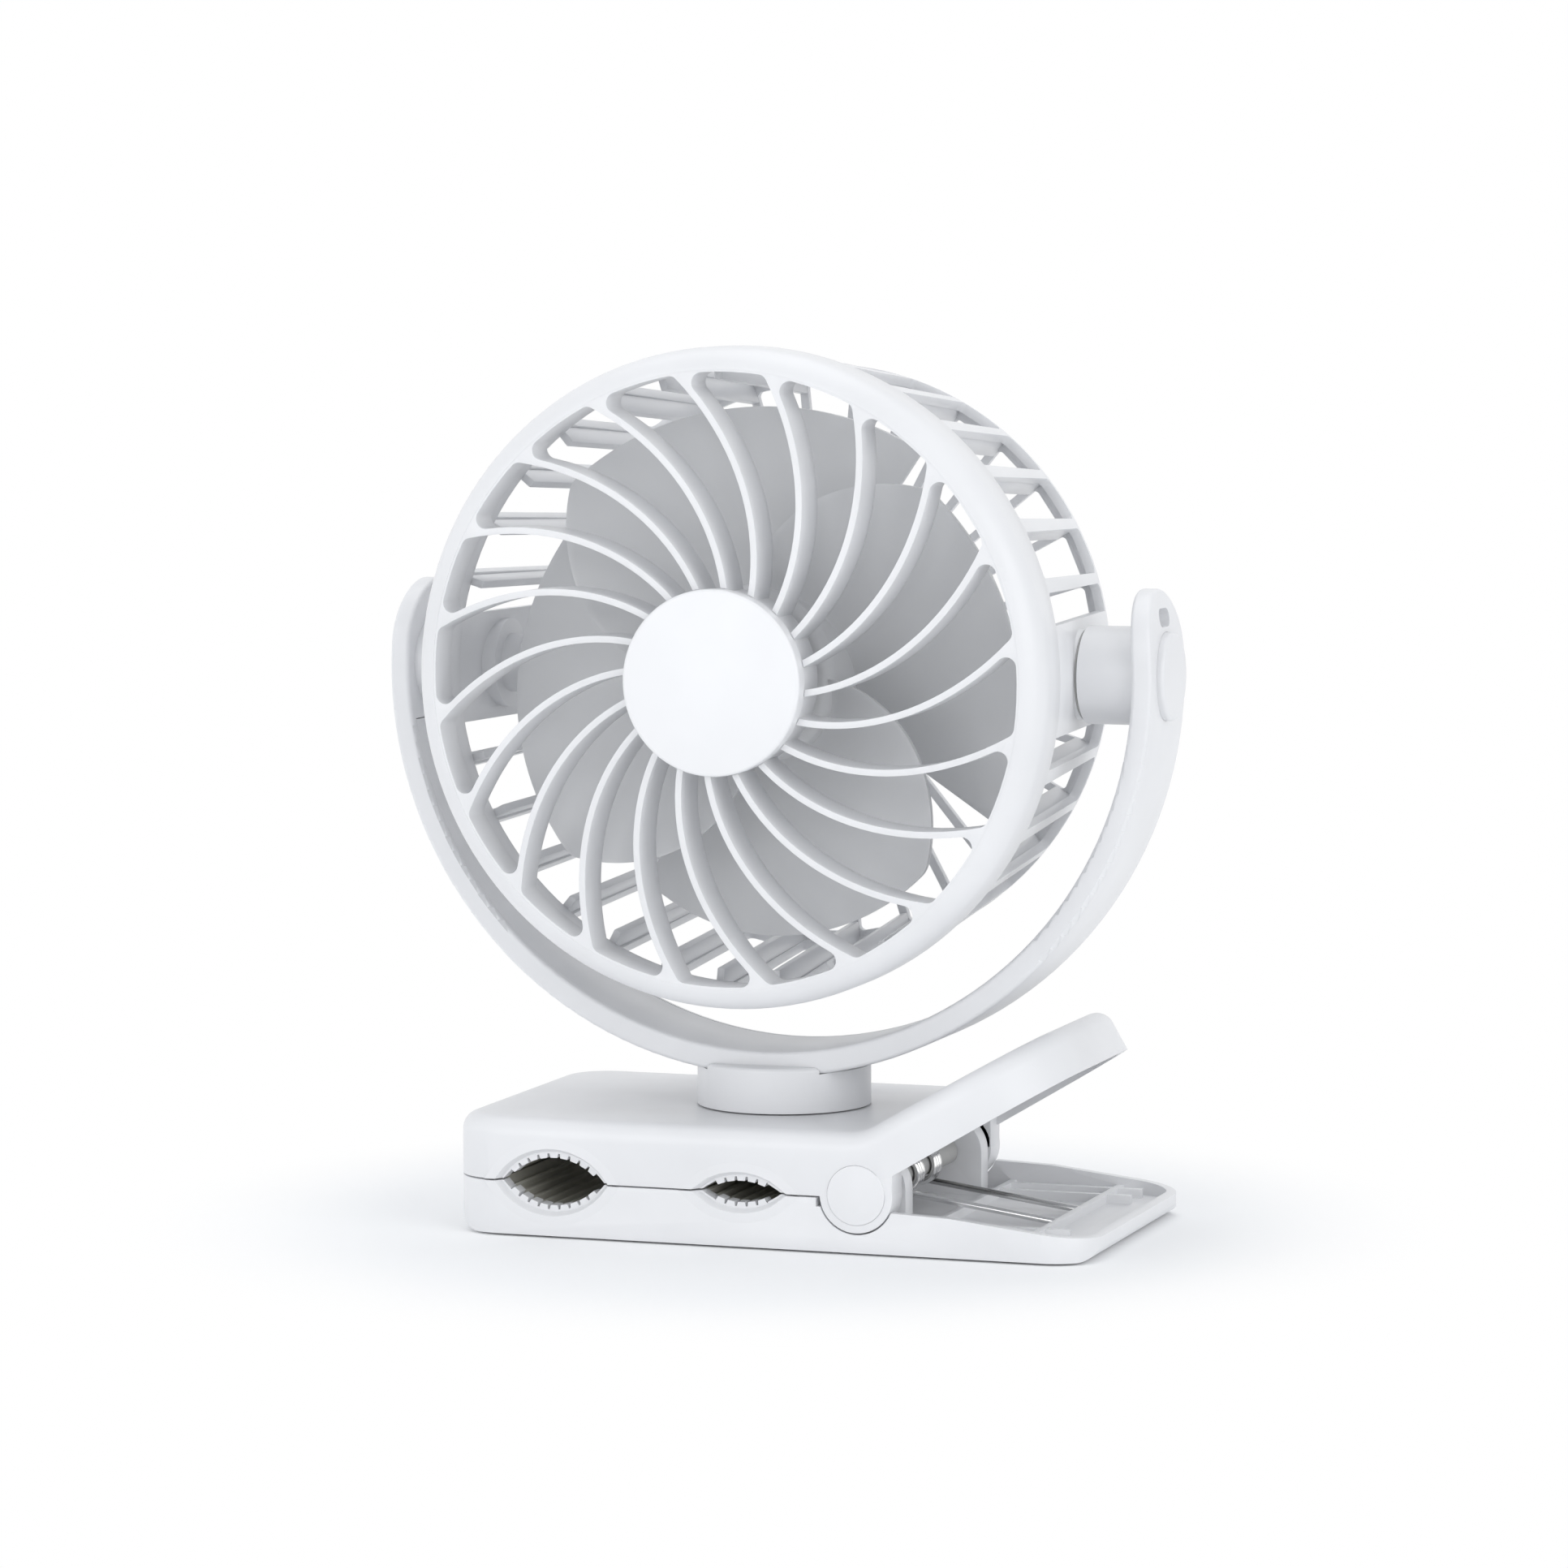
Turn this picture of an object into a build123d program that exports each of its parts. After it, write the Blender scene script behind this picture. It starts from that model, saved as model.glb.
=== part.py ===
"""Desk and clip-on fan: a spring jaw, a swivelling yoke and a tilting caged fan head.

Frame: millimetres, +Z up, the fan blows toward -Y, the jaws open toward -X.
The origin is where the swivel axis meets the surface that the fan stands on.
"""
import os
from math import atan, cos, degrees, radians, sin, sqrt, tan

from build123d import *

# ---- fits ------------------------------------------------------------------
RUN = 0.06              # radial clearance of a shaft in its bearing
SLIP = 0.2              # gap round a piece that drops into a recess
APART = 0.4             # gap between faces that pass each other

# ---- base, shared ------------------------------------------------------------
HALF_W = 39.3           # half width of both jaws
MOUTH_X = -65.0         # end of the jaws
MOUTH_CORNER = 12.0     # plan corner at the mouth
WALL = 2.2              # moulded wall of the jaws
SEAM_Z = 12.1           # top of the lower jaw
LID_Z = SEAM_Z + APART  # underside of the upper jaw
TOP_Z = 26.2            # top of the upper jaw
PAD_PROUD = 0.5         # foot pad below the shell
PAD_T = 1.6             # foot pad thickness
PAD_INSET = 2.8         # rim of shell round the foot pad

# ---- hinge ---------------------------------------------------------------------
HINGE_X = 29.8
HINGE_Z = 13.0
PIN_R = 1.5
CHEEK_R = 8.2           # round cheek of the upper jaw
CHEEK_T = 7.0
LUG_GAP = 2.3           # from each cheek in to the lower lug
LUG_OUT = HALF_W - CHEEK_T - LUG_GAP  # outer face of each lower lug
LUG_T = 5.0
SLEEVE_R = 2.7
CAP_R = 6.5
CAP_DEEP = 1.6
CAP_PROUD = 0.3

# ---- tail tray of the lower jaw ------------------------------------------------
BODY_END_X = 20.7       # where the mouth part ends and the tray begins
TAIL_X = 82.0
TAIL_CORNER = 11.0
FLOOR_T = 1.8
RIM_START_Z = 10.2
RIM_END_Z = 5.4
TRAY_RIB_X = (42.0, 67.0)
TRAY_RIB_Y = (HALF_W - 15.3, HALF_W - 6.3)
TRAY_RIB_Z = 5.4
TRAY_RIB_T = 1.6

# ---- handle of the upper jaw ---------------------------------------------------
HANDLE_X = 73.7         # far end of the handle
HANDLE_CORNER = 24.0    # plan corner of the handle
HANDLE_TOP_AT = (34.5, 28.66)
HANDLE_TOP_SLOPE = 0.58
HANDLE_LOW_AT = (34.5, 15.6)
HANDLE_LOW_SLOPE = 0.61
HANDLE_RIB_Y = 12.0

# ---- grip holes ----------------------------------------------------------------
LARGE_X = -40.4
LARGE_HALF = 13.15
SMALL_X = 3.1
SMALL_HALF = 10.8
LARGE_RISE = 7.1        # seam to the crown of the hole, each jaw
SMALL_RISE = 4.2
LINER_T = 1.5
FLARE_DEEP = 1.8        # flare at each end of a grip hole
COMB_DEEP = 3.5         # toothed shell edge behind the flare
COMB_HALF = HALF_W - FLARE_DEEP
LINER_HALF = COMB_HALF - COMB_DEEP
TOOTH_PITCH = 2.5
TOOTH_H = 1.2
CARRIER_T = 1.6         # shell behind a liner

# ---- torsion spring ----------------------------------------------------------------
WIRE_R = 0.72
WIRE_KNOT = 0.03        # thickening where two runs of wire join
COIL_MEAN_R = 3.75
COIL_INNER_Y = 3.5
FULL_TURNS = 3
COIL_PITCH = 1.55
SPRING_LEG_END_X = 65.9

# ---- lower jaw -------------------------------------------------------------
DECK_T = 2.0            # roof of the lower jaw under the seam
MOUTH_ROUND = 7.0       # lower edge at the mouth and the tail
EDGE_ROUND = 1.0
TRAY_BEND = (51.0, 9.0) # where the tray's rim starts to fall faster
PAD_START_X = MOUTH_X + MOUTH_ROUND + 1.0
PAD_END_X = TAIL_X - 6.0
JAW_RIB_Y = 14.0
JAW_RIB_T = 1.6
CHEEK_IN = HALF_W - CHEEK_T
LUG_R = 8.2
HOLES = ((LARGE_X, LARGE_HALF, LARGE_RISE), (SMALL_X, SMALL_HALF, SMALL_RISE))

# ---- hinge pin and spring bail ---------------------------------------------
PIN_HALF = HALF_W - CAP_DEEP - SLIP
BAIL_LENGTH = 30.0
SPRING_REST_GAP = 0.15

# ---- upper jaw -------------------------------------------------------------
TOP_ROUND = 4.0         # edge between the deck and the side walls
BEND_R = 12.0           # bend between the deck and the handle
HANDLE_T = 10.8         # depth of the handle's end, square to its top face
SWIVEL_R = 7.9          # tube of the swivel drum
SWIVEL_BOSS_R = 13.0
SWIVEL_BOSS_Z = 23.0    # underside of the thickened deck
STOP_IN = 11.8          # stop lug under the deck, measured from the swivel axis
STOP_OUT = 14.8
STOP_W = 1.8
STOP_Z = 21.0
BAY_Z = 14.3            # top of the plate that closes the battery bay
BAY_X = (LARGE_X + SMALL_X + LARGE_HALF - SMALL_HALF) / 2
SCREW_Y = (5.3 - HALF_W, HALF_W - 11.7)
SCREW_R = 1.1
SCREW_HEAD_R = 2.2
SCREW_HEAD_T = 1.2
SCREW_BOSS_R = 3.0
HANDLE_RIB_T = 1.6
HANDLE_RIB_H = 3.5

# ---- controls in the rear wall ------------------------------------------------------
USB_AT = (-19.6, 16.6)
USB_W = 8.9
USB_H = 3.3
USB_DEEP = 4.7
USB_INSET = 0.5
USB_SKIN = 0.3
USB_TONGUE = 0.7
BUTTON_AT = (-12.6, 19.9)
BUTTON_R = 2.3
BUTTON_TRAVEL = 0.8
BUTTON_PROUD = 1.1
BUTTON_FLANGE = (2.8, 0.7)
SWITCH_H = 0.5
LENS_AT = (-20.0, 20.6)
LENS_R = 1.0
BOARD_IN = 6.3          # face of the board inside the rear wall
BOARD_Y = HALF_W - BOARD_IN
BOARD_T = 1.6
BOARD_SIZE = (12.8, 8.4)
BATTERY_HALF_X = 6.6
BATTERY_Y = (9.1 - HALF_W, HALF_W - 15.7)
BATTERY_H = 6.6
BAY_HALF_X = 7.2
REST = 0.1              # gap under a piece that lies on another

# ---- head ------------------------------------------------------------------
SHELL_FRONT_R = 71.0    # outside of the housing at its front
SHELL_TAPER = 4.95      # by which its rear is smaller
SHELL_REAR_R = SHELL_FRONT_R - SHELL_TAPER
SHELL_FRONT = 26.0
SHELL_REAR = -34.0
SHELL_WALL = 2.0
SHELL_ROUND = 3.5
SPIGOT_STEP = 1.9       # from the housing in to the spigot
SPIGOT_R = SHELL_FRONT_R - SPIGOT_STEP
SPIGOT_END = 31.0
SPIGOT_START = 24.0
WINDOWS = 32
BAR_W = 3.0
WINDOW_REAR = -29.7
WINDOW_SPARE = 3.05     # start of the side windows' cutters inside the rear radius
WINDOW_NEAR_R = SHELL_REAR_R - WINDOW_SPARE
WINDOW_ROUND = 1.5
PIVOT_BLANK = 12.0      # half width of the plain wall at each pivot
SPOKE_W = 1.8
SPOKE_IN_R = 24.0
SPOKE_RIM = 4.05        # plain rim round the rear openings
SPOKE_OUT_R = SHELL_REAR_R - SPOKE_RIM
COLLAR_R = 9.9
COLLAR_IN = 1.3         # collar face inside the housing's front radius
COLLAR_X = SHELL_FRONT_R - COLLAR_IN
SOCKET_R = 6.5
SOCKET_DEEP = 9.2       # from the collar face to the socket's end
SOCKET_X = COLLAR_X - SOCKET_DEEP
PIN_SPARE = 1.0         # from the socket's end to the pivot pin
PIN_IN_X = SOCKET_X + PIN_SPARE
RING_R = 8.5
RING_T = 0.6

BEZEL_PROUD = 0.5       # bezel outside the housing
BEZEL_R = SHELL_FRONT_R + BEZEL_PROUD
BEZEL_ARC = 6.5
BEZEL_ARC_Z = 34.2
BEZEL_RIM = 5.35        # face of the bezel round the openings
OPENING_R = BEZEL_R - BEZEL_RIM  # outer end of the grille's openings
LIP = 0.5               # step from the openings to the bezel's rounded face
BEZEL_FIT = 0.2
BEZEL_POCKET = 37.0
RIBS = 20
RIB_W = 1.4
RIB_ANGLE = 8.5         # of one rib at the foot of the ribs' angle law
RIB_ANGLE_R = 66.0
RIB_TURN = 0.70         # degrees that a rib turns per millimetre of radius
RIB_SPARE = 1.85        # rib stock beyond the openings
RIB_BEDDED = 0.4        # rib stock below the bezel's edge
RIB_FRONT_IN = 44.0
RIB_FRONT_MID = 42.9
RIB_BACK_IN = 34.6
RIB_BACK_OUT = 31.5
CELL_ROUND = 2.2        # rounding of each opening's outer corners
HUB_IN_R = 17.0
HUB_OUT_R = 19.6
HUB_FLOOR = 1.6
CAP_DISC_R = 20.06
CAP_BACK = 43.6
CAP_FRONT = 47.5
CAP_SPIGOT = (14.9, 38.0)

# ---- yoke and swivel -------------------------------------------------------
HEAD_GAP = 12.6         # from the housing out to the bow
YOKE_T = 4.55
YOKE_IN_R = SHELL_FRONT_R + HEAD_GAP
YOKE_OUT_R = YOKE_IN_R + YOKE_T
YOKE_DROP = 0.85        # the outer arc's centre lies below the pivot
YOKE_SEAT_Z = 34.1      # lowest point of the bow
PIVOT_Z = YOKE_SEAT_Z + YOKE_OUT_R + YOKE_DROP
HEAD = Plane(origin=(0, 0, PIVOT_Z), x_dir=(1, 0, 0), z_dir=(0, -1, 0))
YOKE_HALF = 14.0
YOKE_ROUND = 1.0
EAR_RISE = 18.9         # ear above the pivot
EAR_TOP_Z = PIVOT_Z + EAR_RISE
SLOT_RISE = 12.7        # slot above the pivot
SLOT_Z = PIVOT_Z + SLOT_RISE
SLOT_SPARE = 9.0        # start of the slot's cutter inside the bow
SLOT_W = 8.0
SLOT_H = 4.0
COVER_T = 1.4
CHANNEL_DEEP = 2.9      # wire channel with its cover
CHANNEL_R = YOKE_IN_R + CHANNEL_DEEP
CHANNEL_SIDE = 1.8      # wall of the bow beside the channel
CHANNEL_HALF = YOKE_HALF - CHANNEL_SIDE
CHANNEL_DROP = 12.1     # top of the channel below the pivot
CHANNEL_TOP_Z = PIVOT_Z - CHANNEL_DROP
PIVOT_BOSS_R = 10.7
BOSS_GAP = 0.2          # from the friction ring to the boss
PIVOT_BOSS_X = COLLAR_X + RING_T + BOSS_GAP
PIVOT_PIN_R = 3.0
PIVOT_HEAD_R = 5.2
PIVOT_HEAD_T = 3.2
SEAT_IN = 2.4           # screw seat inside the bow's inner radius
PIVOT_SEAT_X = YOKE_IN_R - SEAT_IN
PIVOT_CAP_R = 9.6
CAP_SEAT = 1.55         # cap bedded inside the bow's outer radius
CAP_OUT = 1.55          # cap outside it
PIVOT_CAP_X = YOKE_OUT_R - CAP_SEAT
PIVOT_CAP_OUT_X = YOKE_OUT_R + CAP_OUT
DRUM_R = 19.3
DRUM_LIFT = 0.3         # gap between the deck and the drum
SADDLE_DEEP = 1.2       # saddle above the bow's lowest point
DRUM_TOP_Z = YOKE_SEAT_Z + SADDLE_DEEP
LIP_RISE = 1.2          # lips beside the saddle
DRUM_LIP_Z = DRUM_TOP_Z + LIP_RISE
DRUM_BORE_R = 5.3
DRUM_CORE = (10.7, 17.3)
DRUM_ROOF = 1.6         # drum above its hollow
DRUM_CORE_Z = YOKE_SEAT_Z - DRUM_ROOF
YOKE_SCREW_Y = 8.0
YOKE_SCREW_R = 1.5
YOKE_SCREW_HEAD = (2.6, 1.3)
YOKE_SCREW_BITE = 5.6   # screws in the drum, below the bow
YOKE_SCREW_LOW_Z = YOKE_SEAT_Z - YOKE_SCREW_BITE
WASHER_R = 11.0
WASHER_T = 1.4
TAB_W = 1.8
FIX_RING_R = 6.7
FIX_R = 0.8
FIX_HEAD = (1.5, 1.0)
FIX_UP = 4.0

# ---- motor and impeller ----------------------------------------------------
MOTOR_R = 15.0
MOTOR_FRONT = -7.5
MOTOR_NOSE_R = 4.0
MOTOR_NOSE = -5.0
COVER_R = 20.0
COVER_FRONT = -5.5
COVER_WALL = 1.8
MOTOR_SCREW_RING = 10.0
MOTOR_SCREW = (1.0, 6.0)
MOTOR_SCREW_HEAD = (2.0, 1.2)
SHAFT_R = 1.5
SHAFT_END = (-20.0, 27.0)
ROTOR_HUB_R = 19.5
ROTOR_HUB_IN_R = 17.7
ROTOR_HUB = (-3.5, 24.0)
ROTOR_FACE_T = 2.0
ROTOR_BOSS_R = 4.0
ROTOR_ROUND = 3.0
NUT = (3.5, 2.6)

BLADES = 4
BLADE_GAP = 6.05        # from the blades out to the housing's wall at its rear
BLADE_TIP_R = SHELL_REAR_R - SHELL_WALL - BLADE_GAP
BLADE_ROOT_R = 18.6
BLADE_T = 1.5
BLADE_LEAD = -34.0      # angle of the rear edge, the same at every radius
BLADE_TRAIL = (88.0, 20.0, 0.70, 0.0118)
BLADE_REAR = -1.0
BLADE_FRONT = 22.0
BLADE_CAMBER = 1.6
BLADE_ROUND = 6.0

# ---- small roundings and margins -------------------------------------------
ROUND_END = 0.95        # share of half a slot's height that its ends are rounded
LINER_FIT = 0.05        # gap at the end of a liner
TOOTH_ROOT = 0.3        # depth that a tooth is bedded in its arc
TOOTH_FOOT = 0.42       # half width of a tooth at its root, in pitches
TOOTH_CREST = 0.12      # half width of a tooth at its crest, in pitches
TOOTH_SPARE = 0.45      # part of a pitch kept free at the seam
PIN_CHAMFER = 0.3
SHAFT_CHAMFER = 0.2
BATTERY_ROUND = 1.5
CAP_ROUND = 0.8
PIVOT_CAP_ROUND = 1.0
MOTOR_ROUND = 1.0
FIX_ANGLES = (60, 180, 300)
BLADE_SPARE_IN = 1.5    # blade face beyond its outline at the hub
BLADE_SPARE_OUT = 1.5   # blade face beyond its outline at the tip
BLADE_SPARE_EDGE = 0.06 # share of the blade face beyond its front and rear edges


def slab(x0, x1, y0, y1, z0, z1):
    """Block between two corners."""
    size = (x1 - x0, y1 - y0, z1 - z0)
    return Pos(x0, y0, z0) * Box(*size, align=(Align.MIN,) * 3)


def tube_y(x, z, radius, y0, y1):
    """Round bar along Y between two stations."""
    start = Plane(origin=(x, y0, z), x_dir=(1, 0, 0), z_dir=(0, 1, 0))
    return start * extrude_disc(radius, y1 - y0)


def tube_x(y, z, radius, x0, x1):
    """Round bar along X between two stations."""
    start = Plane(origin=(x0, y, z), x_dir=(0, 1, 0), z_dir=(1, 0, 0))
    return start * extrude_disc(radius, x1 - x0)


def tube_z(x, y, radius, z0, z1):
    """Round bar along Z between two heights."""
    return Pos(x, y, z0) * extrude_disc(radius, z1 - z0)


def extrude_disc(radius, height):
    """Cylinder standing on its own origin."""
    return Cylinder(radius, height, align=(Align.CENTER, Align.CENTER, Align.MIN))


def both_sides(piece):
    """A piece at +Y together with its mirror image at -Y."""
    return piece + mirror(piece, about=Plane.XZ)


def side_prism(points, half_width):
    """Outline in X and Z carried across the whole width."""
    outline = make_face(Polyline(*[(x, z) for x, z in points], close=True))
    plane = Plane(origin=(0, half_width, 0), x_dir=(1, 0, 0), z_dir=(0, -1, 0))
    return extrude(plane * outline, amount=2 * half_width)


def plan_prism(x0, x1, half_width, corner_0, corner_1, z0, z1):
    """Plan outline with one corner radius at each end, as a standing prism."""
    outline = make_face(Polyline(
        (x0, -half_width), (x1, -half_width), (x1, half_width), (x0, half_width),
        close=True))
    left = [v for v in outline.vertices() if v.X < (x0 + x1) / 2]
    outline = fillet(left, corner_0)
    right = [v for v in outline.vertices() if abs(v.X - x1) < 1e-6 and
             abs(abs(v.Y) - half_width) < 1e-6]
    outline = fillet(right, corner_1)
    return Pos(0, 0, z0) * extrude(outline, amount=z1 - z0)


# ---- grip holes: one arc above the seam and one below --------------------------
def arc_radius(half_chord, rise):
    """Radius of the arc over a chord."""
    return (half_chord ** 2 + rise ** 2) / (2 * rise)


def arc_centre(half_chord, rise, upper):
    """Height of the arc's centre; the chord lies on the jaw's own seam face."""
    drop = arc_radius(half_chord, rise) - rise
    return LID_Z - drop if upper else SEAM_Z + drop


def arc_bar(x, half_chord, rise, upper, extra, half_length):
    """Round bar whose surface is the arc, grown outward by extra."""
    radius = arc_radius(half_chord, rise) + extra
    centre = arc_centre(half_chord, rise, upper)
    return tube_y(x, centre, radius, -half_length, half_length)


def seam_side(upper):
    """Everything on one jaw's own side of the seam."""
    far = 2 * TAIL_X
    if upper:
        return slab(-far, far, -far, far, LID_Z, far)
    return slab(-far, far, -far, far, -far, SEAM_Z)


def teeth(x, half_chord, rise, upper, y0, y1):
    """Row of ridges along Y that stand inward from the arc."""
    radius = arc_radius(half_chord, rise)
    centre = arc_centre(half_chord, rise, upper)
    step = degrees(TOOTH_PITCH / radius)
    reach = degrees(atan(half_chord / (radius - rise))) if radius > rise else 90
    count = int((reach - step * TOOTH_SPARE) / step)
    up = 90 if upper else -90
    foot, crest = TOOTH_PITCH * TOOTH_FOOT, TOOTH_PITCH * TOOTH_CREST
    ridges = []
    for number in range(-count, count + 1):
        ridge = make_face(Polyline(
            (radius + TOOTH_ROOT, -foot), (radius - TOOTH_H, -crest),
            (radius - TOOTH_H, crest), (radius + TOOTH_ROOT, foot), close=True))
        ridge = Rot(0, 0, up + number * step) * ridge
        plane = Plane(origin=(x, y1, centre), x_dir=(1, 0, 0), z_dir=(0, -1, 0))
        ridges.append(extrude(plane * ridge, amount=y1 - y0))
    return ridges


def grip_liner(x, half_chord, rise, upper):
    """Soft ribbed liner bedded in one jaw."""
    outer = arc_bar(x, half_chord, rise, upper, LINER_T, LINER_HALF)
    inner = arc_bar(x, half_chord, rise, upper, 0, LINER_HALF + 1)
    liner = (outer - inner) & seam_side(upper)
    ridges = teeth(x, half_chord, rise, upper, -LINER_HALF, LINER_HALF)
    return liner.fuse(*ridges) & seam_side(upper)


def cut_grip(shell, x, half_chord, rise, upper):
    """Cut a grip hole through a jaw and leave the toothed edge at each side."""
    bed = arc_bar(x, half_chord, rise, upper, LINER_T, LINER_HALF + LINER_FIT)
    hole = arc_bar(x, half_chord, rise, upper, 0, HALF_W + 1)
    radius = arc_radius(half_chord, rise)
    centre = arc_centre(half_chord, rise, upper)
    flare = Plane(origin=(x, HALF_W, centre), x_dir=(1, 0, 0), z_dir=(0, -1, 0)) * Cone(
        radius + HALF_W - COMB_HALF, radius, HALF_W - COMB_HALF,
        align=(Align.CENTER, Align.CENTER, Align.MIN))
    shell = shell - bed - hole - both_sides(flare)
    comb = teeth(x, half_chord, rise, upper, LINER_HALF + LINER_FIT, COMB_HALF)
    comb = [ridge & seam_side(upper) for ridge in comb]
    return shell.fuse(*comb, *[mirror(ridge, about=Plane.XZ) for ridge in comb])


# ---- lower jaw -------------------------------------------------------------------
def round_edge_at(solid, x, z, radius):
    """Round the edge that runs along Y through one point of the side view."""
    edges = [e for e in solid.edges().filter_by(Axis.Y)
             if abs(e.center().X - x) < 1e-3 and abs(e.center().Z - z) < 1e-3]
    return fillet(edges, radius)


def jaw_cavity(z0, z1, upper):
    """Hollow of the mouth part between its roof and floor, clear of the grip holes."""
    cavity = plan_prism(MOUTH_X + WALL, BODY_END_X - WALL, HALF_W - WALL,
                        MOUTH_CORNER - WALL, EDGE_ROUND, z0, z1)
    for x, half_chord, rise in HOLES:
        cavity = cavity - arc_bar(x, half_chord, rise, upper, LINER_T + CARRIER_T, HALF_W)
    return cavity


def tray_ribs():
    """Cross and lengthwise ribs on the floor of the tail tray."""
    low = PAD_T + FLOOR_T / 2
    ribs = []
    for x in TRAY_RIB_X:
        ribs.append(slab(x - TRAY_RIB_T / 2, x + TRAY_RIB_T / 2, -HALF_W + WALL / 2,
                         HALF_W - WALL / 2, low, TRAY_RIB_Z))
    for y in TRAY_RIB_Y:
        rib = slab(TRAY_RIB_X[0], TAIL_X - TAIL_CORNER + WALL, y - TRAY_RIB_T / 2,
                   y + TRAY_RIB_T / 2, low, TRAY_RIB_Z)
        ribs.append(rib)
        ribs.append(mirror(rib, about=Plane.XZ))
    return ribs


def lower_lugs():
    """Two rounded lugs that hold the hinge pin above the tray floor."""
    lug = tube_y(HINGE_X, HINGE_Z, LUG_R, LUG_OUT - LUG_T, LUG_OUT)
    lug = lug + slab(HINGE_X - LUG_R, HINGE_X + LUG_R, LUG_OUT - LUG_T, LUG_OUT,
                     PAD_T + FLOOR_T / 2, HINGE_Z)
    return both_sides(lug)


def lower_jaw():
    """Lower jaw: grip holes at the mouth, pin lugs, and the spring's tail tray."""
    rim = [(MOUTH_X, PAD_PROUD), (TAIL_X, PAD_PROUD), (TAIL_X, RIM_END_Z), TRAY_BEND,
           (BODY_END_X, RIM_START_Z), (BODY_END_X, SEAM_Z), (MOUTH_X, SEAM_Z)]
    shell = side_prism(rim, HALF_W)
    shell = round_edge_at(shell, MOUTH_X, PAD_PROUD, MOUTH_ROUND)
    shell = round_edge_at(shell, TAIL_X, PAD_PROUD, RIM_END_Z - PAD_PROUD - EDGE_ROUND)
    shell = shell & plan_prism(MOUTH_X, TAIL_X, HALF_W, MOUTH_CORNER, TAIL_CORNER,
                               0, SEAM_Z)
    inside = slab(MOUTH_X + WALL, TAIL_X, -HALF_W, HALF_W, PAD_T, SEAM_Z)
    inside = round_edge_at(inside, MOUTH_X + WALL, PAD_T, MOUTH_ROUND - WALL)
    shell = shell - (jaw_cavity(PAD_T, SEAM_Z - DECK_T, False) & inside)
    for y in (-JAW_RIB_Y, JAW_RIB_Y):
        rib = slab(MOUTH_X + MOUTH_ROUND, BODY_END_X - WALL / 2, y - JAW_RIB_T / 2,
                   y + JAW_RIB_T / 2, PAD_T, SEAM_Z - DECK_T / 2)
        shell = shell + rib
    shell = shell - plan_prism(BODY_END_X, TAIL_X - WALL, HALF_W - WALL, EDGE_ROUND,
                               TAIL_CORNER - WALL, PAD_T + FLOOR_T, SEAM_Z + 1)
    shell = shell.fuse(*tray_ribs(), *lower_lugs().solids())
    shell = shell - plan_prism(PAD_START_X, PAD_END_X, HALF_W - PAD_INSET, MOUTH_CORNER / 2,
                               TAIL_CORNER / 2, 0, PAD_T)
    recess = tube_y(HINGE_X, HINGE_Z, CHEEK_R + APART, CHEEK_IN - APART, HALF_W + 1)
    shell = shell - both_sides(recess)
    shell = shell - tube_y(HINGE_X, HINGE_Z, PIN_R + RUN, -HALF_W, HALF_W)
    for hole in HOLES:
        shell = cut_grip(shell, *hole, False)
    return shell


def foot_pad():
    """Soft pad that the fan stands on, let into the underside."""
    pad = plan_prism(PAD_START_X + SLIP, PAD_END_X - SLIP, HALF_W - PAD_INSET - SLIP,
                     MOUTH_CORNER / 2 - SLIP, TAIL_CORNER / 2 - SLIP, 0, PAD_T)
    return chamfer(pad.faces().sort_by(Axis.Z)[0].edges(), PAD_PROUD / 2)


# ---- hinge and spring --------------------------------------------------------------
def hinge_pin():
    """Steel pin through both jaws."""
    pin = tube_y(HINGE_X, HINGE_Z, PIN_R, -PIN_HALF, PIN_HALF)
    return chamfer(pin.edges().filter_by(GeomType.CIRCLE), PIN_CHAMFER)


def pin_sleeve():
    """Tube over the pin that carries the spring between the lugs."""
    half = LUG_OUT - LUG_T - SLIP
    sleeve = tube_y(HINGE_X, HINGE_Z, SLEEVE_R, -half, half)
    return sleeve - tube_y(HINGE_X, HINGE_Z, PIN_R + RUN, -half, half)


def handle_angle():
    """Lean of the handle's top face."""
    return degrees(atan(HANDLE_TOP_SLOPE))


def ceiling_reach():
    """Distance from the hinge axis to the hollow side of the handle's top wall."""
    rise = HANDLE_TOP_AT[1] - HANDLE_TOP_SLOPE * (HANDLE_TOP_AT[0] - HINGE_X) - HINGE_Z
    return rise * cos(radians(handle_angle())) - WALL


def wire(start, end):
    """Straight round wire with ball ends."""
    path = Line(start, end)
    rod = sweep(Plane(origin=path @ 0, z_dir=path % 0) * Circle(WIRE_R), path=path)
    ball = Sphere(WIRE_R + WIRE_KNOT)
    return rod + Pos(*start) * ball + Pos(*end) * ball


def on_coil(angle, y):
    """Point on the spring's coil at one angle of the side view."""
    return (HINGE_X + COIL_MEAN_R * cos(radians(angle)), y,
            HINGE_Z + COIL_MEAN_R * sin(radians(angle)))


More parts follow.
